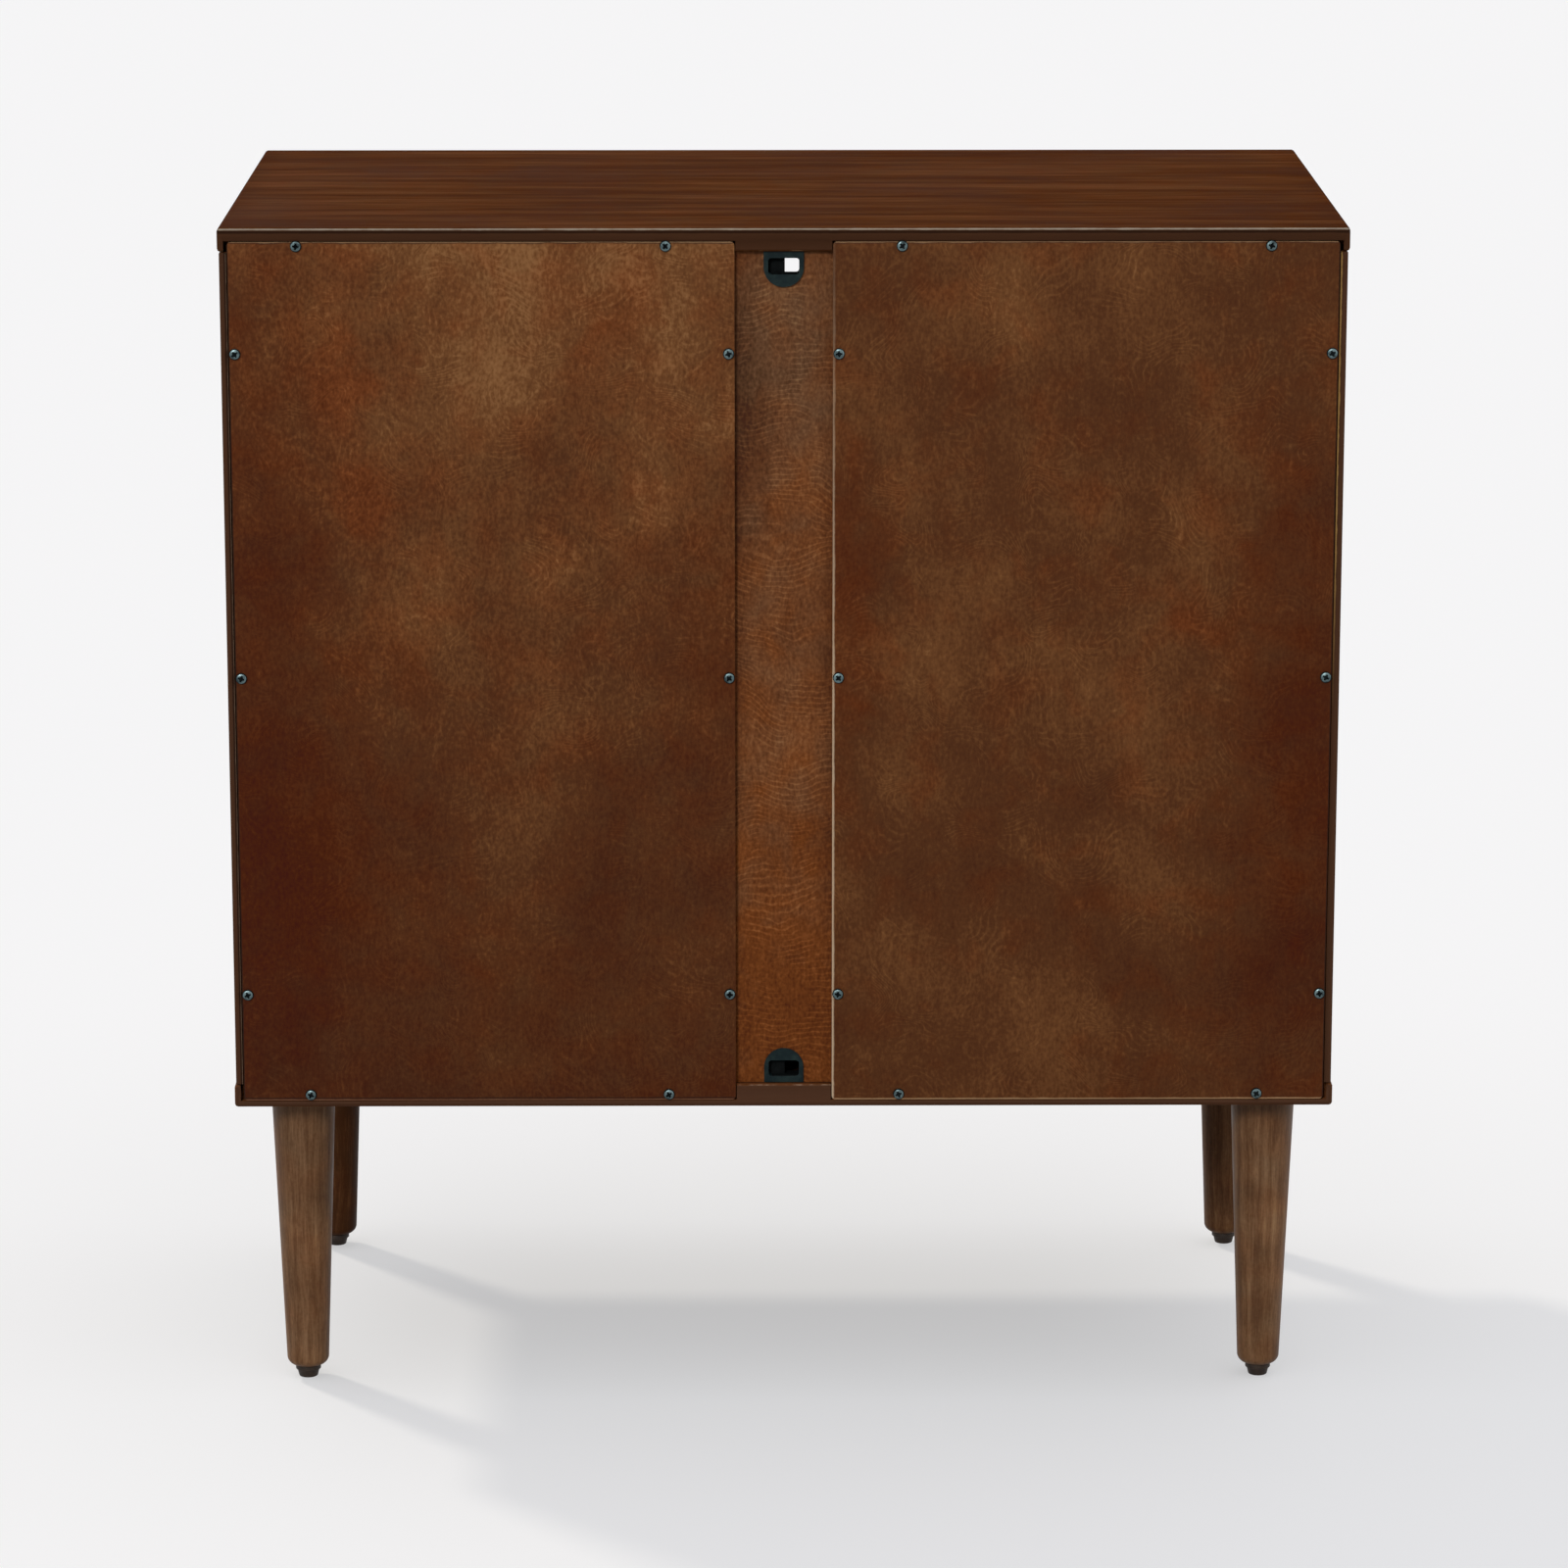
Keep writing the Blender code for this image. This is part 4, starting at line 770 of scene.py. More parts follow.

# The strip is the same plywood wiped thinner, so it looks golden, and its growth rings show as wavy lines.
# The tall dark clouds along its two sides are painted shade beside the panels' edges.
STRIP_PLY = replace(
    PANEL_PLY, red_tones=BRIGHT_STAIN, olive_tones=PALE_STAIN, tone=0.54, red=0.65, tint=1.5, fibre=0.6,
    band_mm=(5.0, 40.0), band=0.35, swerve_mm=14.0, cloud_mm=50.0, ring_mm=(70.0, 80.0), rings=9.0,
    ring_slope=1.6, ring=0.48, ring_share=0.6, speckle=0.8, stray_mm=8.0,
    clouds=(Cloud(-18, 150, 26, 0.1, 0, 6.0), Cloud(32, 170, 32, -0.4, -0.2, 6.0),
            Cloud(0, 210, 130, 0.0, -0.4), Cloud(0, 190, 60, -0.06, -0.1, 1.6),
            Cloud(0, -200, 170, 0.0, 0.2), Cloud(0, -40, 90, 0.05), Cloud(-15, -235, 95, -0.24, 0.4),
            Cloud(36, -20, 15, -0.35, 0, 20.0), Cloud(-34, 0, 16, -0.4, -0.1, 20.0)))

# Turned rubberwood has long straight streaks and a little more shine, which follows the taper. The front
# legs are painted darker and duller than the back ones, and one of them darkest, as painted shade under
# the case.
LEG_WOOD = StainedWood(
    "solid rubberwood, turned and stained", RED_LEG, OLIVE_LEG, Axis.UP, tone=0.6, fibre_mm=(0.9, 14.0),
    fibre=0.6, band_mm=(3.5, 110.0), band=1.0, swerve_mm=3.0, cloud_mm=26.0, cloud=0.7, ring=0.1,
    roughness=0.5, specular=0.15)
LEG_WOODS_WITH_PAINTED_SHADE = {
    "leg_front_left": replace(LEG_WOOD, tone=0.4, specular=0.1),
    "leg_front_right": replace(LEG_WOOD, tone=0.0, band=0.7, specular=0.05),
    "leg_back_left": LEG_WOOD,
    "leg_back_right": LEG_WOOD,
}

# The grommets look blue-black and almost dull, and glides and catch dark brown. Deep in a grommet's hole,
# the flap and the sleeve are painted near black and dull, as the shade there.
GROMMET_PLASTIC = MouldedPlastic("black ABS, moulded", "0b181a", "1c2927", specular=0.1)
PAINTED_HOLE_SHADE = MouldedPlastic("black rubber, moulded", "0c0e0e", "141616", 0.8, 0.02)
GLIDE_PLASTIC = MouldedPlastic("dark brown polyethylene, moulded", "1c120b", "35281e", roughness=0.5,
                               specular=0.25)
CATCH_PLASTIC = MouldedPlastic("brown ABS, moulded", "26170f", "38271d", specular=0.3)

# The back's screws have grey crowns, with their rims and recesses painted black as shade. Zinc gives an even
# pale shine, and lacquered brass has gone brown with gold where hands polish it.
BLUED_STEEL = WorkedMetal("steel, cold headed and blackened, grey crown", "5f7072", "2c3638", 0.4, 0.34)
PAINTED_SHADE_STEEL = WorkedMetal("steel, cold headed and blackened", "1a1f20", "090b0c", 0.45, 0.5)
ZINC_STEEL = WorkedMetal("steel, stamped and zinc plated", "a9acb0", "7d8084", 0.3, 0.3)
AGED_BRASS = WorkedMetal("brass, turned and aged", "94713a", "443319", 0.4, 0.28)


def arc(centre: Point2, radius: float, start: float, end: float, steps: int) -> list[Point2]:
    """List points along an arc.

    Args:
        centre: The arc's centre.
        radius: Its radius.
        start: Angle of the first point, in degrees.
        end: Angle of the last point, in degrees.
        steps: How many steps lie between them.

    Returns:
        The points, both ends included.
    """
    angles = [math.radians(start + (end - start) * i / steps) for i in range(steps + 1)]
    return [(centre[0] + radius * math.cos(a), centre[1] + radius * math.sin(a)) for a in angles]


def rounded_rectangle(width: float, height: float, radius: float, steps: int = 8) -> list[Point2]:
    """Outline a rectangle about (0, 0) with round corners.

    Args:
        width: Its width.
        height: Its height.
        radius: Radius of the corners.
        steps: Steps in a corner.

    Returns:
        The outline's points.
    """
    across = width / 2 - radius
    up = height / 2 - radius
    corners = (((across, up), 0), ((-across, up), 90), ((-across, -up), 180), ((across, -up), 270))
    return [point for centre, start in corners for point in arc(centre, radius, start, start + 90, steps)]


def revolve(profile: Sequence[Point2], steps: int) -> Shape:
    """Turn a profile about Z.

    Args:
        profile: Radius and height of each point, down the outer side from axis to axis.
        steps: Steps in a full turn.

    Returns:
        The closed shape.
    """
    shape = bmesh.new()
    rings = []
    for radius, height in profile:
        count = 1 if radius < WELD else steps
        turn = [2 * math.pi * i / steps for i in range(count)]
        rings.append([shape.verts.new((radius * math.cos(a), radius * math.sin(a), height)) for a in turn])
    for upper, lower in zip(rings, rings[1:]):
        for i in range(steps):
            j = i + 1
            corners = [upper[i % len(upper)], lower[i % len(lower)],
                       lower[j % len(lower)], upper[j % len(upper)]]
            face = list(dict.fromkeys(corners))
            if len(face) > 2:
                shape.faces.new(face)
    return shape


def extrude(outline: Sequence[Point2], near: float, far: float) -> Shape:
    """Pull an outline in X and Z along Y.

    Args:
        outline: Points as x and z, anticlockwise as seen from -Y.
        near: The lower y.
        far: The higher y.

    Returns:
        The closed shape.
    """
    shape = bmesh.new()
    front = [shape.verts.new((x, near, z)) for x, z in outline]
    back = [shape.verts.new((x, far, z)) for x, z in outline]
    shape.faces.new(front)
    shape.faces.new(reversed(back))
    for i, _ in enumerate(front):
        j = (i + 1) % len(front)
        shape.faces.new((front[j], front[i], back[i], back[j]))
    return shape


def block(low: Sequence[float], high: Sequence[float], rounding: float, steps: int = EDGE_STEPS) -> Shape:
    """Make a box with rounded edges.

    Args:
        low: Its lowest corner.
        high: Its highest corner.
        rounding: Radius of the edges.
        steps: Steps in a rounded edge.

    Returns:
        The closed shape.
    """
    shape = bmesh.new()
    bmesh.ops.create_cube(shape, size=1)
    size = [b - a for a, b in zip(low, high)]
    bmesh.ops.scale(shape, vec=size, verts=shape.verts)
    bmesh.ops.translate(shape, vec=[(a + b) / 2 for a, b in zip(low, high)], verts=shape.verts)
    bmesh.ops.bevel(shape, geom=shape.edges[:], offset=rounding, segments=steps, profile=0.5,
                    affect="EDGES", clamp_overlap=True)
    return shape


def merge(shapes: Iterable[Shape]) -> Shape:
    """Put several closed shapes into one.

    Args:
        shapes: The shapes. They are freed.

    Returns:
        One shape that holds them all.
    """
    whole = bmesh.new()
    for shape in shapes:
        part = bpy.data.meshes.new("part")
        shape.to_mesh(part)
        shape.free()
        whole.from_mesh(part)
        bpy.data.meshes.remove(part)
    return whole


def moved(shape: Shape, matrix: Matrix) -> Shape:
    """Move a shape by a matrix and return it."""
    bmesh.ops.transform(shape, matrix=matrix, verts=shape.verts)
    return shape


def loose_object(name: str, shape: Shape) -> bpy.types.Object:
    """Put a shape into an object of the scene.

    Args:
        name: The object's name.
        shape: The shape. It is freed.

    Returns:
        The object.
    """
    mesh = bpy.data.meshes.new(name)
    shape.to_mesh(mesh)
    shape.free()
    thing = bpy.data.objects.new(name, mesh)
    bpy.context.scene.collection.objects.link(thing)
    return thing


def carve(shape: Shape, others: Sequence[tuple[Shape, str]], rounding: float = 0.0) -> Shape:
    """Join shapes to a shape or cut them out of it, then round what edges stay sharp.

    Args:
        shape: The shape to start from. It is freed.
        others: Each other shape and its Boolean operation. They are freed.
        rounding: Radius of the edges, or 0 to leave them sharp.

    Returns:
        The new shape.
    """
    base = loose_object("base", shape)
    tools = [loose_object("tool", other) for other, _ in others]
    for tool, (_, operation) in zip(tools, others):
        modifier = base.modifiers.new(operation, "BOOLEAN")
        modifier.operation = operation
        modifier.solver = "EXACT"
        modifier.object = tool
    if rounding:
        bevel = base.modifiers.new("rounding", "BEVEL")
        bevel.width = rounding
        bevel.segments = EDGE_STEPS
        bevel.limit_method = "ANGLE"
        bevel.angle_limit = math.radians(ROUNDED_CREASE)
    shown = base.evaluated_get(bpy.context.evaluated_depsgraph_get())
    mesh = bpy.data.meshes.new_from_object(shown)
    made = bmesh.new()
    made.from_mesh(mesh)
    bpy.data.meshes.remove(mesh)
    for thing in (base, *tools):
        bpy.data.objects.remove(thing, do_unlink=True)
    return made


def place_piece(name: str, shape: Shape, material: bpy.types.Material, body: str, slot: str,
                stands_for: Sequence[str] = (), sharp: float = 40.0) -> bpy.types.Object:
    """Make a finished piece of the cabinet.

    Args:
        name: The piece's name.
        shape: Its shape in the cabinet's frame. It is freed.
        material: Its finish.
        body: The body that it rides on.
        slot: The record's material slot. Not used.
        stands_for: The CAD nodes that it replaces.
        sharp: Angle in degrees above which an edge is shaded sharp.

    Returns:
        The piece.
    """
    thing = loose_object(name, shape)
    thing.data.materials.append(material)
    thing.data.shade_smooth()
    thing.data.set_sharp_from_angle(angle=math.radians(sharp))
    normals = thing.modifiers.new("weighted normals", "WEIGHTED_NORMAL")
    normals.keep_sharp = True
    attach(thing, body)
    if stands_for:
        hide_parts(*stands_for)
    log.info("%s: %d faces, on %s", name, len(thing.data.polygons), body)
    return thing


@dataclass
class Boards:
    """Flat boards of the cabinet, each with its CAD solid's shape.

    Attributes:
        finishes: The finish and slot of each board by node name.
        bodies: The body of each board that isn't part of the case.
        crease: Angle in degrees above which an edge stays sharp. It is more than one step of a rounded edge.
        flat: Angle in degrees up to which triangles count as one face.
    """

    finishes: dict[str, tuple[StainedWood, str]]
    bodies: dict[str, str] = field(default_factory=dict)
    crease: float = 50.0
    flat: float = 0.5

    def shape(self, node: str) -> Shape:
        """Copy a CAD board and join its loose triangles into whole faces.

        Args:
            node: The board's node.

        Returns:
            The board's shape.
        """
        shape = bmesh.new()
        shape.from_mesh(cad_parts[node].data)
        bmesh.ops.remove_doubles(shape, verts=shape.verts, dist=WELD)
        bmesh.ops.dissolve_limit(shape, angle_limit=math.radians(self.flat), verts=shape.verts[:],
                                 edges=shape.edges[:])
        return shape

    def build(self) -> None:
        """Make every board with its finish."""
        for node, (finish, slot) in self.finishes.items():
            material = finish.material(node, *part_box(node))
            place_piece(f"{node}_board", self.shape(node), material, self.bodies.get(node, "case"), slot,
                        (node,), self.crease)


@dataclass
class TurnedLegs:
    """The four tapered legs.

    Attributes:
        foot_radius: Radius at the foot, before its rounding.
        foot_rounding: Radius of the foot's shoulder.
        top_easing: Radius of the edge under the case.
        bolt_radius: Radius of the hanger bolt.
        bolt_length: Height of the bolt above the leg, with the clearance under the case.
        bore_radius: Radius of the bore for the glide's stem.
        bore_depth: Depth of that bore.
        steps: Steps in a full turn.
    """

    foot_radius: float = 13.8 * MM
    foot_rounding: float = 6.0 * MM
    top_easing: float = 0.8 * MM
    bolt_radius: float = 4.0 * MM
    bolt_length: float = 9.8 * MM
    bore_radius: float = 3.3 * MM
    bore_depth: float = 22.3 * MM
    steps: int = 96

    def profile(self, radius: float, bottom: float, top: float) -> list[Point2]:
        """Outline a leg from its bolt down to the bore.

        Args:
            radius: The leg's radius under the case.
            bottom: Height of the foot.
            top: Height of the leg's top face.

        Returns:
            Radius and height of each point.
        """
        slope = math.degrees(math.atan2(radius - self.foot_radius, top - bottom))
        shoulder = (self.foot_radius - self.foot_rounding, bottom + self.foot_rounding)
        easing = (radius - self.top_easing, top - self.top_easing)
        tip = top + self.bolt_length
        bore = bottom + self.bore_depth
        return [(0, tip), (self.bolt_radius, tip), (self.bolt_radius, top),
                *arc(easing, self.top_easing, 90, -slope, steps=4),
                *arc(shoulder, self.foot_rounding, -slope, -90, steps=10),
                (self.bore_radius, bottom), (self.bore_radius, bore), (0, bore)]

    def build(self) -> None:
        """Make the legs."""
        for end in ENDS:
            for side in SIDES:
                node = f"leg_{end}_{side}"
                low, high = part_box(node)
                middle = (low + high) / 2
                radius = (high.x - low.x) / 2
                shape = revolve(self.profile(radius, low.z, high.z - self.bolt_length), self.steps)
                moved(shape, Matrix.Translation((middle.x, middle.y, 0)))
                place_piece(f"turned_{node}", shape, LEG_WOODS_WITH_PAINTED_SHADE[node].material(node, low, high), "case",
                            "leg_wood", (node,), TURNED_CREASE)


@dataclass
class LevellingGlides:
    """Moulded feet on threaded stems, which screw into the legs.

    Attributes:
        rim: Height of the straight rim above the taper.
        rim_easing: Radius of the rim's edges, and width of the step under it.
        foot_radius: Radius where the glide meets the floor.
        foot_rounding: Radius of the edge at the floor.
        foot_slope: Slope of the taper where it meets that edge, in degrees.
        stem_radius: Radius of the thread's crests.
        thread_depth: Depth of the thread.
        pitch: Height of one turn of the thread.
        rows: Rows of points in one turn of the thread.
        foot_height: Height of the moulded foot.
        steps: Steps in a full turn.
    """

    rim: float = 2.6 * MM
    rim_easing: float = 0.5 * MM
    foot_radius: float = 6.3 * MM
    foot_rounding: float = 0.8 * MM
    foot_slope: float = 10.0
    stem_radius: float = 3.0 * MM
    thread_depth: float = 0.5 * MM
    pitch: float = 1.25 * MM
    rows: int = 6
    foot_height: float = 8.0 * MM
    steps: int = 48

    def foot(self, radius: float) -> Shape:
        """Turn the moulded foot.

        Args:
            radius: Radius of its rim.

        Returns:
            The foot about the floor at z = 0.
        """
        top = self.foot_height
        edge = self.rim_easing
        rounding = self.foot_rounding
        sole = (self.foot_radius - rounding, rounding)
        return revolve([(0, top), *arc((radius - edge, top - edge), edge, 90, 0, steps=4),
                        *arc((radius - edge, top - self.rim), edge, 0, -90, steps=4),
                        (radius - 2 * edge, top - self.rim - edge),
                        *arc(sole, rounding, -self.foot_slope, -90, steps=4), (0, 0)], self.steps)

    def stem(self, height: float) -> Shape:
        """Cut the thread on the stem.

        Args:
            height: Height of the stem's top above the floor.

        Returns:
            The stem, standing in the foot.
        """
        bottom = self.foot_height - FIT
        rows = round((height - bottom) / self.pitch * self.rows)
        shape = bmesh.new()
        rings = []
        for row in range(rows + 1):
            z = bottom + (height - bottom) * row / rows
            ring = []
            for i in range(self.steps):
                turn = i / self.steps
                share = (z / self.pitch - turn) % 1.0
                radius = self.stem_radius - self.thread_depth * abs(2 * share - 1)
                angle = 2 * math.pi * turn
                ring.append(shape.verts.new((radius * math.cos(angle), radius * math.sin(angle), z)))
            rings.append(ring)
        for lower, upper in zip(rings, rings[1:]):
            for i in range(self.steps):
                j = (i + 1) % self.steps
                shape.faces.new((lower[i], lower[j], upper[j], upper[i]))
        shape.faces.new(reversed(rings[0]))
        shape.faces.new(rings[-1])
        return shape

    def build(self) -> None:
        """Make the glides, each on its own body."""
        material = GLIDE_PLASTIC.material()
        for end in ENDS:
            for side in SIDES:
                node = f"leg_glide_{end}_{side}"
                low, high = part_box(node)
                middle = (low + high) / 2
                shape = merge((self.foot((high.x - low.x) / 2), self.stem(high.z)))
                moved(shape, Matrix.Translation((middle.x, middle.y, 0)))
                place_piece(f"moulded_{node}", shape, material, f"glide_{end}_{side}", "glide_plastic",
                            (node,), TURNED_CREASE)


@dataclass(frozen=True)
class CrossScrew:
    """A screw with a cross recess in its head.

    Attributes:
        radius: Radius of the head.
        height: Height of the head.
        shank_radius: Radius of the shank.
        shank_length: Length of the shank, point included.
        point_length: Length of the point.
        span: Length of the cross.
        slot: Width of each slot of the cross.
        depth: Depth of the cross.
        taper: Share of its length that the cross still has at its bottom.
        pit: Radius of the round pit in the middle of the cross, as a share of the slot's width.
        dome: Points of the head from the crown down, as shares of its radius and its height.
        steps: Steps in a full turn.
    """

    radius: float
    height: float
    shank_radius: float
    shank_length: float
    point_length: float
    span: float
    slot: float
    depth: float
    taper: float = 0.72
    pit: float = 1.2
    dome: tuple[Point2, ...] = ((0.0, 1.0), (0.3, 0.99), (0.6, 0.95), (0.75, 0.89), (0.87, 0.78),
                                (0.95, 0.6), (0.99, 0.38), (1.0, 0.15), (0.985, 0.0))
    steps: int = 32

    def shape(self) -> Shape:
        """Make the screw along Z, its head above z = 0.

        Returns:
            The screw's shape.
        """
        point = self.point_length - self.shank_length
        profile = [*((self.radius * out, self.height * up) for out, up in self.dome),
                   (self.shank_radius, 0), (self.shank_radius, point), (0, -self.shank_length)]
        half, wide, pit = self.span / 2, self.slot / 2, self.slot * self.pit
        foot = half * self.taper
        low, crown, high = self.height - self.depth, self.height, self.height * 2
        outline = ((-foot, low), (foot, low), (half, crown), (half, high), (-half, high), (-half, crown))
        cutters = [moved(extrude(outline, -wide, wide), Matrix.Rotation(turn, 4, "Z"))
                   for turn in (0, math.pi / 2)]
        cutters.append(revolve([(0, high), (pit, high), (pit, crown), (0, low - wide)], steps=16))
        return carve(revolve(profile, self.steps), [(cutter, "DIFFERENCE") for cutter in cutters])

    def placed(self, place: Point3, towards: Point3, twist: float = 0.0) -> Shape:
        """Make the screw where it is driven in.

        Args:
            place: The middle of the head's underside.
            towards: The way that the head faces.
            twist: Angle that the cross is turned by, in degrees.

        Returns:
            The screw's shape.
        """
        face = Vector((0, 0, 1)).rotation_difference(Vector(towards)).to_matrix().to_4x4()
        turn = Matrix.Rotation(math.radians(twist), 4, "Z")
        return moved(self.shape(), Matrix.Translation(place) @ face @ turn)


# Pan heads hold the back. Flat heads hold the hinges, the strike plates and the cleats.
PAN_HEAD = CrossScrew(radius=3.6 * MM, height=2.0 * MM, shank_radius=1.25 * MM, shank_length=13.5 * MM,
                      point_length=2.5 * MM, span=4.2 * MM, slot=1.2 * MM, depth=1.2 * MM)
FLAT_HEAD = CrossScrew(radius=2.3 * MM, height=0.12 * MM, shank_radius=1.0 * MM, shank_length=0.6 * MM,
                       point_length=0.3 * MM, span=2.6 * MM, slot=0.55 * MM, depth=0.1 * MM, steps=24)


@dataclass
class BackScrews:
    """The twenty pan head screws of the back.

    Attributes:
        count: How many there are.
        twist: Angle in degrees from one screw's cross to the next one's, as a hand leaves them.
        rim: Radius outside which the head is painted black, as the shadow where it meets the panel.
        steep: Share of its normal along +Y below which a face in the recess is painted black as shade.
        recess_depth: Depth in the recess from which a face is painted black as shade.
    """

    count: int = 20
    twist: float = 37.0
    rim: float = 3.05 * MM
    steep: float = 0.8
    recess_depth: float = 0.3 * MM

    def paint_screw_shade(self, screw: bpy.types.Object, dark: bpy.types.Material, centre: Vector) -> None:
        """Paint the recess black as shade, and the rim black as the shadow where the head meets the panel.

        Args:
            screw: The screw.
            dark: The black finish that stands for the shade.
            centre: The middle of the head's outer face.
        """
        screw.data.materials.append(dark)
        for face in screw.data.polygons:
            offset = face.center - centre
            radius = math.hypot(offset.x, offset.z)
            sunk = face.normal.y < self.steep or offset.y < -self.recess_depth
            face.material_index = int(radius > self.rim or (sunk and radius < PAN_HEAD.span / 2))

    def build(self) -> None:
        """Make the screws."""
        material = BLUED_STEEL.material()
        dark = PAINTED_SHADE_STEEL.material()
        for number in range(1, self.count + 1):
            node = f"back_screw_{number:02d}"
            low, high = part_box(node)
            middle = (low + high) / 2
            place = (middle.x, high.y - PAN_HEAD.height, middle.z)
            shape = PAN_HEAD.placed(place, (0, 1, 0), self.twist * number)
            screw = place_piece(f"pan_head_{node}", shape, material, "case", "screw_steel", (node,),
                                CUT_CREASE)
            # Painted shade: black in the recess and round the rim.
            self.paint_screw_shade(screw, dark, Vector((middle.x, high.y, middle.z)))


@dataclass
class CableGrommets:
    """D-shaped grommets that line the two cable holes.

    Attributes:
        straight: Height of the straight sides above the half round.
        flange: Thickness of the flange.
        hole: Width and height of the cable hole.
        hole_radius: Radius of the hole's corners.
        hole_drop: Distance from the flat side to the hole.
        wall: Thickness of the sleeve's wall.
        flap_width: Width of the flap over the hole's +X end.
        flap_depth: Distance from the flange's inner face to the flap.
        flap_thickness: Thickness of the flap.
        flap_rounding: Radius of the flap's edges before it is joined.
        rounding: Radius of the moulded edges.
    """

    straight: float = 9.9 * MM
    flange: float = 1.6 * MM
    hole: Point2 = (19.6 * MM, 10.4 * MM)
    hole_radius: float = 2.0 * MM
    hole_drop: float = 4.2 * MM
    wall: float = 1.2 * MM
    flap_width: float = 10.5 * MM
    flap_depth: float = 4.0 * MM
    flap_thickness: float = 1.0 * MM
    flap_rounding: float = 0.3 * MM
    rounding: float = 0.45 * MM

    def shape(self, width: float, depth: float) -> Shape:
        """Make one grommet about its hole's middle, flat side up, its face at y = 0 and its sleeve to -Y.

        Args:
            width: Width of the flange.
            depth: Depth of the whole grommet.

        Returns:
            The grommet's shape.
        """
        flat = self.hole[1] / 2 + self.hole_drop
        radius = width / 2
        centre = (0, flat - self.straight)
        outline = [(radius, flat), (-radius, flat), *arc(centre, radius, 180, 360, steps=40)]
        walls = 2 * self.wall
        sleeve = rounded_rectangle(self.hole[0] + walls, self.hole[1] + walls, self.hole_radius + self.wall)
        flap_x = self.hole[0] / 2 - self.flap_width
        flap_y = -self.flange - self.flap_depth
        rooted = self.hole[0] / 2 + self.wall / 2
        lip = self.hole[1] / 2 + self.wall / 2
        flap = block((flap_x, flap_y - self.flap_thickness, -lip), (rooted, flap_y, lip), self.flap_rounding)
        return carve(extrude(outline, -self.flange, 0), [
            (extrude(sleeve, -depth, -self.flange / 2), "UNION"),
            (extrude(rounded_rectangle(*self.hole, self.hole_radius), -2 * depth, depth), "DIFFERENCE"),
            (flap, "UNION")], self.rounding)

    def build(self) -> None:
        """Make both grommets, the lower one flat side down, with painted shade deep in their holes."""
        material = GROMMET_PLASTIC.material()
        rubber = PAINTED_HOLE_SHADE.material()
        for word, turned in (("top", 1), ("bottom", -1)):
            node = f"cable_grommet_{word}"
            low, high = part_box(node)
            shape = self.shape(high.x - low.x, high.y - low.y)
            flat = self.hole[1] / 2 + self.hole_drop
            middle = high.z - flat if turned > 0 else low.z + flat
            seat = Matrix.Translation(((low.x + high.x) / 2, high.y, middle))
            moved(shape, seat @ Matrix.Diagonal((1, 1, turned, 1)))
            if turned < 0:
                bmesh.ops.reverse_faces(shape, faces=shape.faces)
            piece = place_piece(f"moulded_{node}", shape, material, "case", "black_plastic", (node,),
                                CUT_CREASE)
            # The flap and the sleeve deep in the hole get a near-black finish, as painted shade.
            piece.data.materials.append(rubber)
            for face in piece.data.polygons:
                face.material_index = int(face.center.y < high.y - self.flange - self.flap_depth / 2)


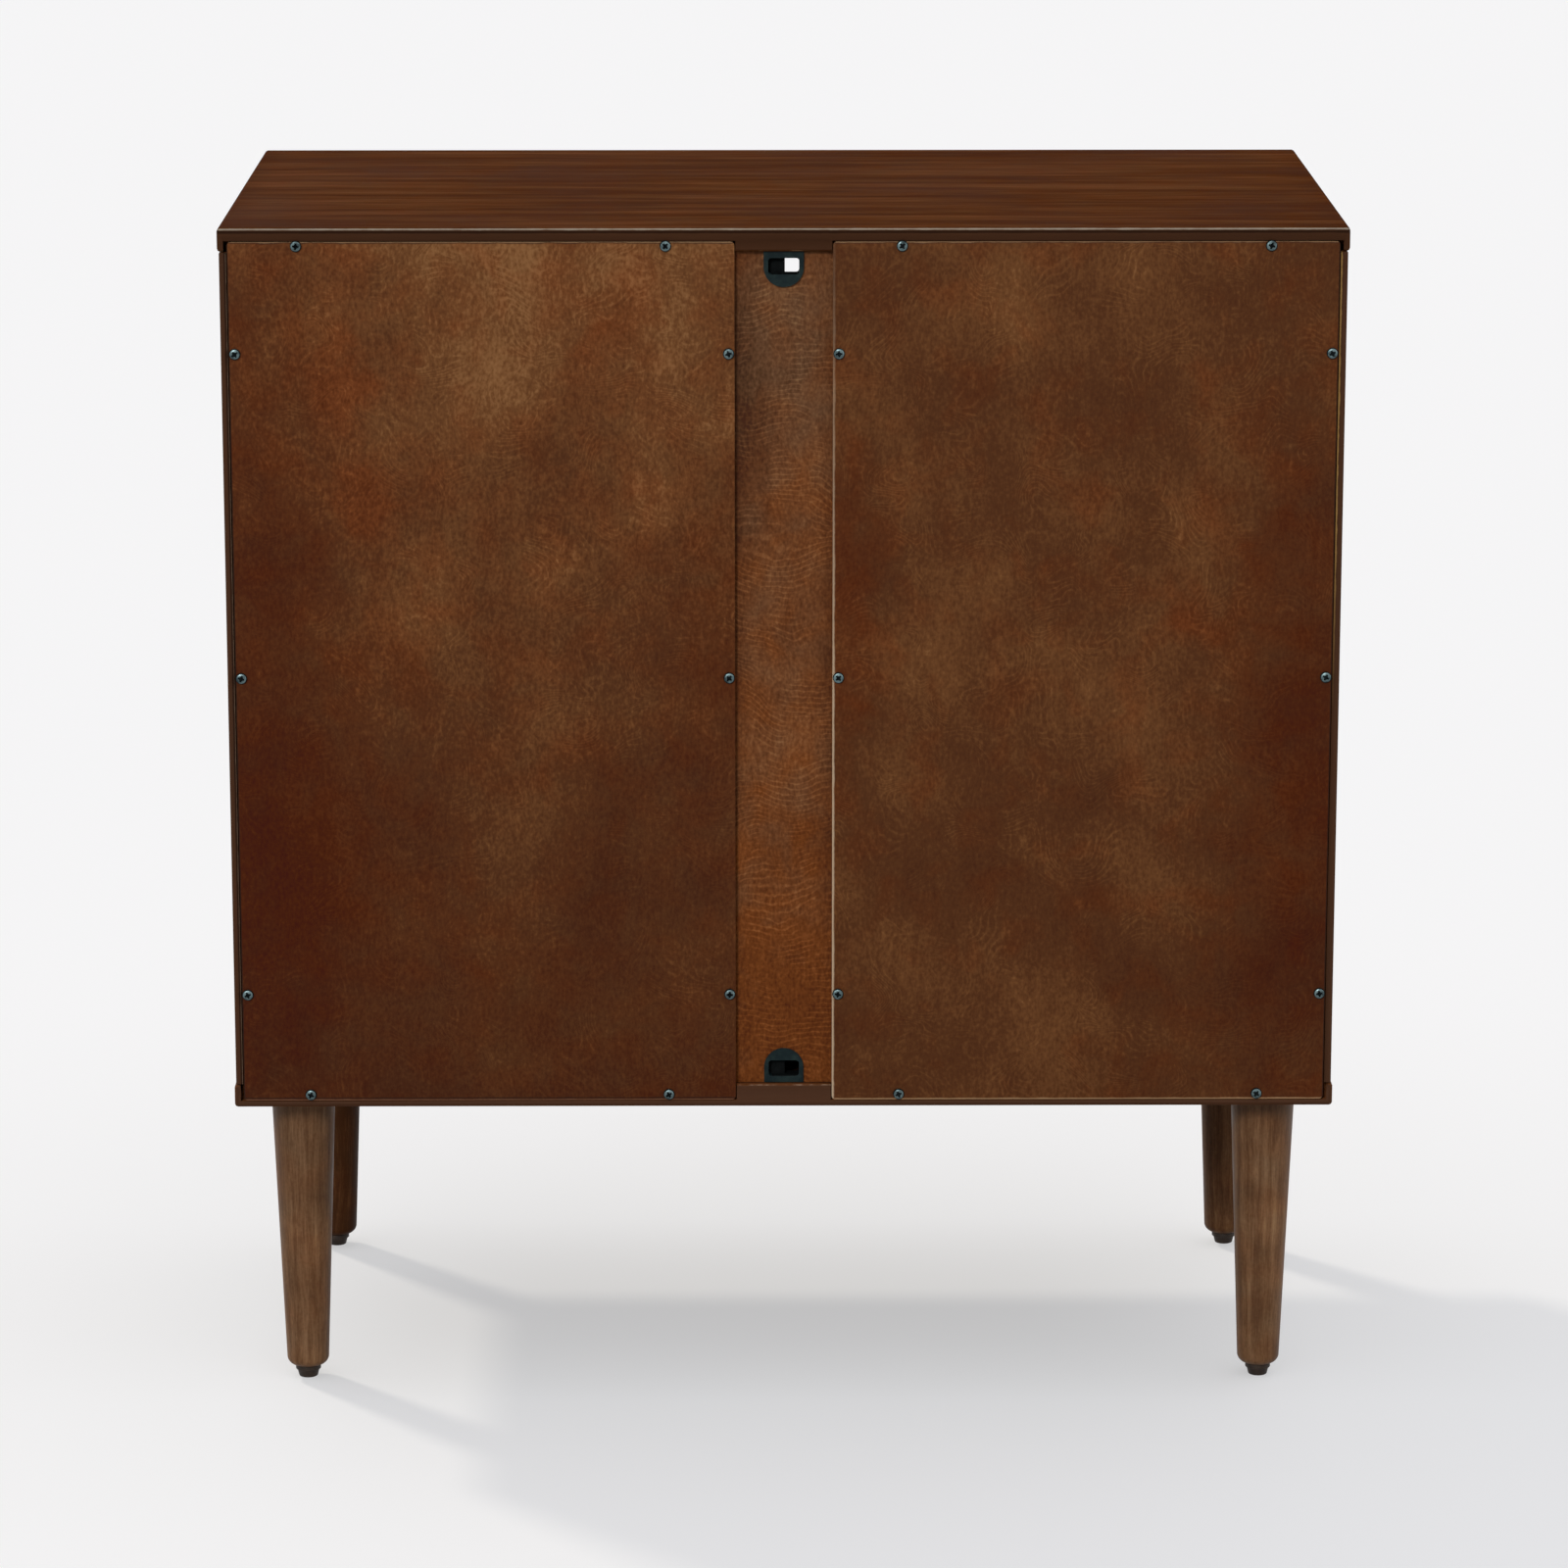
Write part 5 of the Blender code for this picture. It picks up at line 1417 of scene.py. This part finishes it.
@dataclass
class ButtHinges:
    """Butt hinges between the sides and the doors.

    Attributes:
        leaf: Thickness of a leaf.
        knuckle: Radius of the knuckles.
        pin: Radius of the pin.
        pin_play: Clearance of the pin in the door's knuckle.
        corner: Radius of the leaves' corners.
        easing: Radius of the knuckles' edges.
        pin_easing: Radius of the pin's edges.
        screws: Heights of a leaf's screws, as shares of half its length.
        screw_inset: Distance of the line of screws from the leaf's rear edge.
        stagger: How far the middle screw lies behind that line, and the others in front of it.
        screw_proud: How far the rim of a screw's head stands off the leaf.
        twist: Angle in degrees from one screw's cross to the next one's.
        steps: Steps in a full turn.
    """

    leaf: float = 1.0 * MM
    knuckle: float = 3.0 * MM
    pin: float = 1.2 * MM
    pin_play: float = 0.15 * MM
    corner: float = 2.0 * MM
    easing: float = 0.25 * MM
    pin_easing: float = 0.3 * MM
    screws: tuple[float, ...] = (-0.7, 0.0, 0.7)
    screw_inset: float = 5.5 * MM
    stagger: float = 1.5 * MM
    screw_proud: float = 0.04 * MM
    twist: float = 50.0
    steps: int = 32

    def rod(self, radius: float, low: float, high: float, edge: float) -> Shape:
        """Turn a rod about Z with eased ends.

        Args:
            radius: Its radius.
            low: Its lower end.
            high: Its upper end.
            edge: Width of the eased edges.

        Returns:
            The rod's shape.
        """
        return revolve([(0, high), (radius - edge, high), (radius, high - edge), (radius, low + edge),
                        (radius - edge, low), (0, low)], self.steps)

    def leaf_shape(self, width: float, length: float, spans: Sequence[Point2], pinned: bool) -> Shape:
        """Make a leaf about its pin, its plate on the -X side and to +Y.

        Args:
            width: Distance from the pin to the leaf's rear edge.
            length: Length of the leaf.
            spans: Lowest and highest end of each knuckle.
            pinned: Whether the pin is part of this leaf.

        Returns:
            The leaf's shape.
        """
        end = length / 2
        front = self.knuckle + FIT
        back = width - self.corner
        outline = [(front, -end), *arc((back, self.corner - end), self.corner, -90, 0, steps=6),
                   *arc((back, end - self.corner), self.corner, 0, 90, steps=6), (front, end)]
        for low, high in reversed(spans):
            outline += [(front, high - FIT), (0, high - FIT), (0, low + FIT), (front, low + FIT)]
        plate = extrude(outline, FIT / 2, FIT / 2 + self.leaf)
        others = [(self.rod(self.knuckle, low, high, self.easing), "UNION") for low, high in spans]
        if pinned:
            reach = end + self.leaf
            others.append((self.rod(self.pin, -reach, reach, self.pin_easing), "UNION"))
        else:
            others.append((self.rod(self.pin + self.pin_play, -length, length, self.easing), "DIFFERENCE"))
        return carve(moved(plate, Matrix.Rotation(math.pi / 2, 4, "Z")), others)

    def build(self) -> None:
        """Make the leaves and their screws."""
        metal = AGED_BRASS.material()
        for side, sign in SIDES.items():
            for level in ("upper", "lower"):
                for part, body, pinned in (("case", "case", True), ("door", f"door_{side}", False)):
                    node = f"hinge_{part}_leaf_{side}_{level}"
                    low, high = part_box(node)
                    length = high.z - low.z - (2 * self.leaf if pinned else 0)
                    third = length / 6
                    half = FIT / 2
                    spans = ([(-length / 2, -third - half), (third + half, length / 2)] if pinned
                             else [(half - third, third - half)])
                    pin = Vector(((low.x + high.x) / 2, low.y + self.knuckle, (low.z + high.z) / 2))
                    shape = self.leaf_shape(high.y - pin.y, length, spans, pinned)
                    outward = sign if pinned else -sign
                    turn = Matrix.Rotation(math.pi if outward > 0 else 0, 4, "Y")
                    moved(shape, Matrix.Translation(pin) @ turn)
                    place_piece(f"formed_{node}", shape, metal, body, "hinge_brass", (node,), CUT_CREASE)
                    self.add_screws(node, body, pin, outward, high.y, length, metal)

    def add_screws(self, node: str, body: str, pin: Vector, outward: int, rear: float, length: float,
                   metal: bpy.types.Material) -> None:
        """Set the countersunk screws into a leaf.

        Args:
            node: The leaf's node.
            body: The leaf's body.
            pin: The pin's middle.
            outward: Side of the pin that the leaf lies on.
            rear: The y of the leaf's rear edge.
            length: Length of the leaf.
            metal: The finish.
        """
        x = pin.x + outward * (FIT / 2 - self.screw_proud)
        for number, share in enumerate(self.screws, start=1):
            inset = self.screw_inset + (self.stagger if share else -self.stagger)
            place = (x, rear - inset, pin.z + share * length / 2)
            shape = FLAT_HEAD.placed(place, (-outward, 0, 0), self.twist * number)
            place_piece(f"{node}_screw_{number}", shape, metal, body, "hinge_brass", (), CUT_CREASE)


@dataclass
class DoorKnobs:
    """Round turned knobs.

    Attributes:
        neck: Radius of the neck.
        base: Radius of the base.
        base_height: Thickness of the base.
        base_easing: Radius of the base's edge.
        throat: Radius of the hollow between neck and base.
        ball_end: How far below its middle the ball ends, in degrees.
        neck_drop: How far below the ball's middle the neck starts, as a share of the ball's radius.
        flare: Width and height of the cone between neck and ball.
        post: Radius of the post in the door.
        post_length: Length of the post.
        steps: Steps in a full turn.
    """

    neck: float = 5.0 * MM
    base: float = 8.0 * MM
    base_height: float = 3.0 * MM
    base_easing: float = 0.6 * MM
    throat: float = 1.6 * MM
    ball_end: float = 48.0
    neck_drop: float = 0.78
    flare: Point2 = (0.5 * MM, 0.8 * MM)
    post: float = 2.0 * MM
    post_length: float = 10.0 * MM
    steps: int = 64

    def profile(self, radius: float, reach: float) -> list[Point2]:
        """Outline a knob from its crown to its post.

        Args:
            radius: Radius of the ball.
            reach: Height of the crown above the base's underside.

        Returns:
            Radius and height of each point.
        """
        middle = reach - radius
        neck_top = middle - radius * self.neck_drop
        hollow = (self.neck + self.throat, self.base_height + self.throat)
        edge = (self.base - self.base_easing, self.base_height - self.base_easing)
        return [*arc((0, middle), radius, 90, -self.ball_end, steps=26),
                (self.neck + self.flare[0], neck_top), (self.neck, neck_top - self.flare[1]),
                *arc(hollow, self.throat, 180, 270, steps=5), *arc(edge, self.base_easing, 90, 0, steps=4),
                (self.base, 0), (self.post, 0), (self.post, -self.post_length), (0, -self.post_length)]

    def build(self) -> None:
        """Make the knobs."""
        metal = AGED_BRASS.material()
        for side in SIDES:
            node = f"door_knob_{side}"
            low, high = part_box(node)
            reach = high.y - low.y - self.post_length
            shape = revolve(self.profile((high.x - low.x) / 2, reach), self.steps)
            seat = Matrix.Translation(((low.x + high.x) / 2, low.y + reach, (low.z + high.z) / 2))
            moved(shape, seat @ Matrix.Rotation(math.pi / 2, 4, "X"))
            place_piece(f"turned_{node}", shape, metal, f"door_{side}", "hinge_brass", (node,),
                        TURNED_CREASE)


@dataclass
class MagneticCatch:
    """The catch under the bay shelf, with its pole plates, and the strike plates on the doors.

    Attributes:
        rounding: Radius of the case's edges.
        pole: Width, height and thickness of a pole plate.
        pole_gap: Distance between the two plates of a magnet.
        offset: Distance of each magnet from the middle.
        proud: How far the plates stand out of the case.
        easing: Radius of the edges of pole plates and strike plates.
        corner: Radius of a strike plate's corners.
        sunk: How far the rim of a screw's head lies under the strike plate's face.
    """

    rounding: float = 1.2 * MM
    pole: Point3 = (12.0 * MM, 1.4 * MM, 3.0 * MM)
    pole_gap: float = 4.6 * MM
    offset: float = 12.0 * MM
    proud: float = 0.1 * MM
    easing: float = 0.2 * MM
    corner: float = 1.0 * MM
    sunk: float = 0.04 * MM

    def build(self) -> None:
        """Make the catch and the strike plates."""
        low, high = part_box("magnetic_catch")
        place_piece("moulded_magnetic_catch", block(low, high, self.rounding, steps=4),
                    CATCH_PLASTIC.material(), "case", "black_plastic", ("magnetic_catch",))
        zinc = ZINC_STEEL.material()
        width, height, depth = self.pole
        middle_z = (low.z + high.z) / 2
        for side, sign in SIDES.items():
            for word, step in (("upper", 1), ("lower", -1)):
                x = sign * self.offset
                z = middle_z + step * self.pole_gap / 2
                plate = block((x - width / 2, low.y - self.proud, z - height / 2),
                              (x + width / 2, low.y + depth, z + height / 2), self.easing)
                place_piece(f"catch_pole_{side}_{word}", plate, zinc, "case", "screw_steel")
            self.build_strike(side, zinc)

    def build_strike(self, side: str, zinc: bpy.types.Material) -> None:
        """Make a strike plate and its screw.

        Args:
            side: The door's side.
            zinc: The finish.
        """
        node = f"strike_plate_{side}"
        low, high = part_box(node)
        middle = (low + high) / 2
        outline = rounded_rectangle(high.x - low.x, high.z - low.z, self.corner, steps=6)
        plate = moved(extrude(outline, low.y, high.y), Matrix.Translation((middle.x, 0, middle.z)))
        place_piece(f"stamped_{node}", carve(plate, [], self.easing), zinc, f"door_{side}", "screw_steel",
                    (node,), CUT_CREASE)
        screw = FLAT_HEAD.placed((middle.x, high.y - self.sunk, middle.z), (0, 1, 0))
        place_piece(f"{node}_screw", screw, zinc, f"door_{side}", "screw_steel", (), CUT_CREASE)


@dataclass
class CleatScrews:
    """The countersunk screws that hold the four shelf cleats.

    Attributes:
        places: Where they sit along a cleat, as shares of half its length.
        twist: Angle in degrees from one screw's cross to the next one's.
        sunk: How far the rim of a head lies under the cleat's face.
    """

    places: tuple[float, ...] = (-0.78, 0.0, 0.78)
    twist: float = 67.0
    sunk: float = 0.04 * MM

    def build(self) -> None:
        """Make the screws."""
        zinc = ZINC_STEEL.material()
        for side, sign in SIDES.items():
            for end, facing in (("outer", -sign), ("inner", sign)):
                node = f"shelf_cleat_{side}_{end}"
                low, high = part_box(node)
                middle = (low + high) / 2
                x = middle.x + facing * ((high.x - low.x) / 2 - self.sunk)
                for number, share in enumerate(self.places, start=1):
                    place = (x, middle.y + share * (high.y - low.y) / 2, middle.z)
                    shape = FLAT_HEAD.placed(place, (facing, 0, 0), self.twist * number)
                    place_piece(f"{node}_screw_{number}", shape, zinc, "case", "screw_steel", (), CUT_CREASE)


class Lit(Enum):
    """What a lamp of the studio lights."""

    BOTH = "cabinet and floor"
    CABINET = "cabinet without floor"


@dataclass(frozen=True)
class Sun:
    """A distant lamp.

    Attributes:
        name: Its name.
        direction: The way towards it.
        strength: Its strength.
        angle: How wide it looks, in degrees. The wider it is, the softer its shadow.
        lit: What it lights.
        colour: Its colour.
    """

    name: str
    direction: Point3
    strength: float
    angle: float
    lit: Lit
    colour: str = "ffffff"


@dataclass
class Studio:
    """Floor, lights and camera.

    Attributes:
        floor_colour: Colour of the floor, which fills the whole view.
        floor_size: Width of the floor.
        floor_drop: How far it lies under the glides, so that they don't share a plane.
        floor_bounce: Its colour for the light that it throws back, which leaves the far legs darker.
        floor_lift: Share of plain white that the floor shows in place of its shading, which softens shadows.
        backdrop_colour: Colour of the air behind the floor, for the camera and in reflections.
        sky: Strength of the even light at the horizon and overhead.
        sky_rise: Heights on a sky of radius 1 where that strength starts to grow and where it is full.
        sky_colour: Its colour.
        suns: The lamps.
        camera_place: Where the camera stands.
        pitch: How far it looks down, in degrees.
        yaw: How far it turns from straight along -Y, in degrees.
        lens_mm: Its focal length.
        sensor_mm: Width of its sensor.
    """

    floor_colour: str = "fcfcfc"
    floor_size: float = 60.0
    floor_drop: float = 0.2 * MM
    floor_bounce: str = "c8c8c8"
    floor_lift: float = 0.5
    backdrop_colour: str = "f5f5f5"
    sky: Point2 = (0.16, 0.28)
    sky_rise: Point2 = (0.25, 0.75)
    sky_colour: str = "e6ebff"
    suns: tuple[Sun, ...] = (
        Sun("back fill", (0.3, 1.0, 0.5), 1.93, 12.0, Lit.CABINET),
        Sun("left fill", (-1.0, 0.3, 0.4), 0.7, 40.0, Lit.CABINET),
        Sun("front fill", (0.5, -1.0, 0.35), 0.75, 50.0, Lit.CABINET),
        Sun("overhead", (0.0, 0.0, 1.0), 1.3, 90.0, Lit.BOTH),
        Sun("key", (0.8, -0.9, 1.0), 1.2, 6.5, Lit.BOTH, "fff7e9"),
    )
    camera_place: Point3 = (0.0243, 3.9734, 1.2844)
    pitch: float = 13.02
    yaw: float = -0.372
    lens_mm: float = 138.54
    sensor_mm: float = 36.0

    def seen(self, tree: bpy.types.NodeTree) -> bpy.types.Node:
        """Tell the rays that show a thing, straight or by way of metal or glass, from those that light.

        Args:
            tree: The material's or the world's tree.

        Returns:
            The node that holds 1 for a ray that shows and 0 for one that lights.
        """
        rays = add_node(tree, "LightPath").outputs
        shown = add_node(tree, "Math", {"operation": "MAXIMUM"},
                         {0: rays["Is Camera Ray"], 1: rays["Is Glossy Ray"]})
        return add_node(tree, "Math", {"operation": "MAXIMUM"}, {0: shown, 1: rays["Is Transmission Ray"]})

    def build_floor(self) -> bpy.types.Object:
        """Lay the floor.

        Returns:
            The floor.
        """
        half = self.floor_size / 2
        shape = bmesh.new()
        corners = ((-half, -half), (half, -half), (half, half), (-half, half))
        shape.faces.new([shape.verts.new((x, y, -self.floor_drop)) for x, y in corners])
        floor = loose_object("studio_floor", shape)
        # Matt white paint shows the eye no shine, only the cabinet's shadow. Where it is seen, some plain
        # white is mixed into its shading, which keeps it as bright as the photograph's.
        made, tree, shader = new_material("studio floor, painted matt white")
        seen = self.seen(tree)
        colour = add_node(tree, "Mix", {"data_type": "RGBA", "A_Color": linear(self.floor_bounce),
                                        "B_Color": linear(self.floor_colour)}, {"Factor_Float": seen})
        link(tree, shader, {"Base Color": socket(colour.outputs, "Result_Color")})
        shader.inputs["Roughness"].default_value = 0.9
        shader.inputs["Specular IOR Level"].default_value = 0.0
        share = add_node(tree, "Math", {"operation": "MULTIPLY", 1: self.floor_lift}, {0: seen})
        glow = add_node(tree, "Emission", {"Color": (1.0, 1.0, 1.0, 1.0), "Strength": 1.0})
        mixed = add_node(tree, "MixShader", None, {0: share, 1: shader, 2: glow})
        link(tree, tree.nodes["Material Output"], {"Surface": mixed})
        floor.data.materials.append(made)
        return floor

    def build_lights(self, floor: bpy.types.Object) -> None:
        """Light the room evenly, with a key from the far left that gives the floor its one shadow.

        Args:
            floor: The floor, which some lamps leave out, so that it shows one shadow.
        """
        world = bpy.data.worlds.new("studio")
        world.use_nodes = True
        tree = world.node_tree
        where = add_node(tree, "TexCoord")
        split = add_node(tree, "SeparateXYZ", None, {0: where.outputs["Generated"]})
        strength = add_node(tree, "MapRange", {1: self.sky_rise[0], 2: self.sky_rise[1], 3: self.sky[0],
                                               4: self.sky[1]}, {0: split.outputs[2]})
        light = tree.nodes["Background"]
        light.inputs["Color"].default_value = linear(self.sky_colour)
        link(tree, light, {"Strength": strength})
        backdrop = add_node(tree, "Background", {"Color": linear(self.backdrop_colour), "Strength": 1.0})
        mixed = add_node(tree, "MixShader", None, {0: self.seen(tree), 1: light, 2: backdrop})
        link(tree, tree.nodes["World Output"], {"Surface": mixed})
        bpy.context.scene.world = world
        floorless = bpy.data.collections.new(Lit.CABINET.value)
        floorless.objects.link(floor)
        floorless.collection_objects[0].light_linking.link_state = "EXCLUDE"
        for sun in self.suns:
            lamp = bpy.data.lights.new(sun.name, "SUN")
            lamp.energy = sun.strength
            lamp.angle = math.radians(sun.angle)
            lamp.color = linear(sun.colour)[:3]
            thing = bpy.data.objects.new(sun.name, lamp)
            thing.rotation_mode = "QUATERNION"
            thing.rotation_quaternion = Vector(sun.direction).to_track_quat("Z", "Y")
            if sun.lit is Lit.CABINET:
                thing.light_linking.receiver_collection = floorless
            bpy.context.scene.collection.objects.link(thing)

    def build_camera(self) -> None:
        """Set the camera at the photograph's viewing angle."""
        lens = bpy.data.cameras.new("photograph")
        lens.sensor_width = self.sensor_mm
        lens.lens = self.lens_mm
        camera = bpy.data.objects.new("photograph", lens)
        camera.location = self.camera_place
        camera.rotation_euler = (math.radians(90 - self.pitch), 0, math.radians(180 + self.yaw))
        bpy.context.scene.collection.objects.link(camera)
        bpy.context.scene.camera = camera
        bpy.context.scene.view_settings.view_transform = "Standard"

    def build(self) -> None:
        """Make the whole studio."""
        self.build_lights(self.build_floor())
        self.build_camera()


def main() -> None:
    """Build the cabinet's pieces in order, then the studio."""
    logging.basicConfig(level=logging.INFO, format="%(message)s")
    boards = {
        "top_panel": (TOP_VENEER, "case_wood"),
        "bottom_panel": (BOTTOM_VENEER, "case_wood"),
        "side_panel_left": (LEFT_SIDE_VENEER, "case_wood"),
        "side_panel_right": (RIGHT_SIDE_VENEER, "case_wood"),
        "bay_shelf": (SHELF_VENEER, "case_wood"),
        "center_divider": (UPRIGHT_VENEER, "case_wood"),
        "back_panel_left": (LEFT_PANEL_PLY, "back_wood"),
        "back_panel_right": (RIGHT_PANEL_PLY, "back_wood"),
        "back_center_strip": (STRIP_PLY, "strip_wood"),
        "door_left": (UPRIGHT_VENEER, "case_wood"),
        "door_right": (UPRIGHT_VENEER, "case_wood"),
        "shelf_left": (SHELF_VENEER, "case_wood"),
        "shelf_right": (SHELF_VENEER, "case_wood"),
    }
    boards |= {f"shelf_cleat_{side}_{end}": (CLEAT_WOOD, "case_wood") for side in SIDES
               for end in ("inner", "outer")}
    Boards(boards, {"door_left": "door_left", "door_right": "door_right"}).build()
    TurnedLegs().build()
    LevellingGlides().build()
    BackScrews().build()
    CableGrommets().build()
    ButtHinges().build()
    DoorKnobs().build()
    MagneticCatch().build()
    CleatScrews().build()
    Studio().build()


if __name__ == "__main__":
    main()
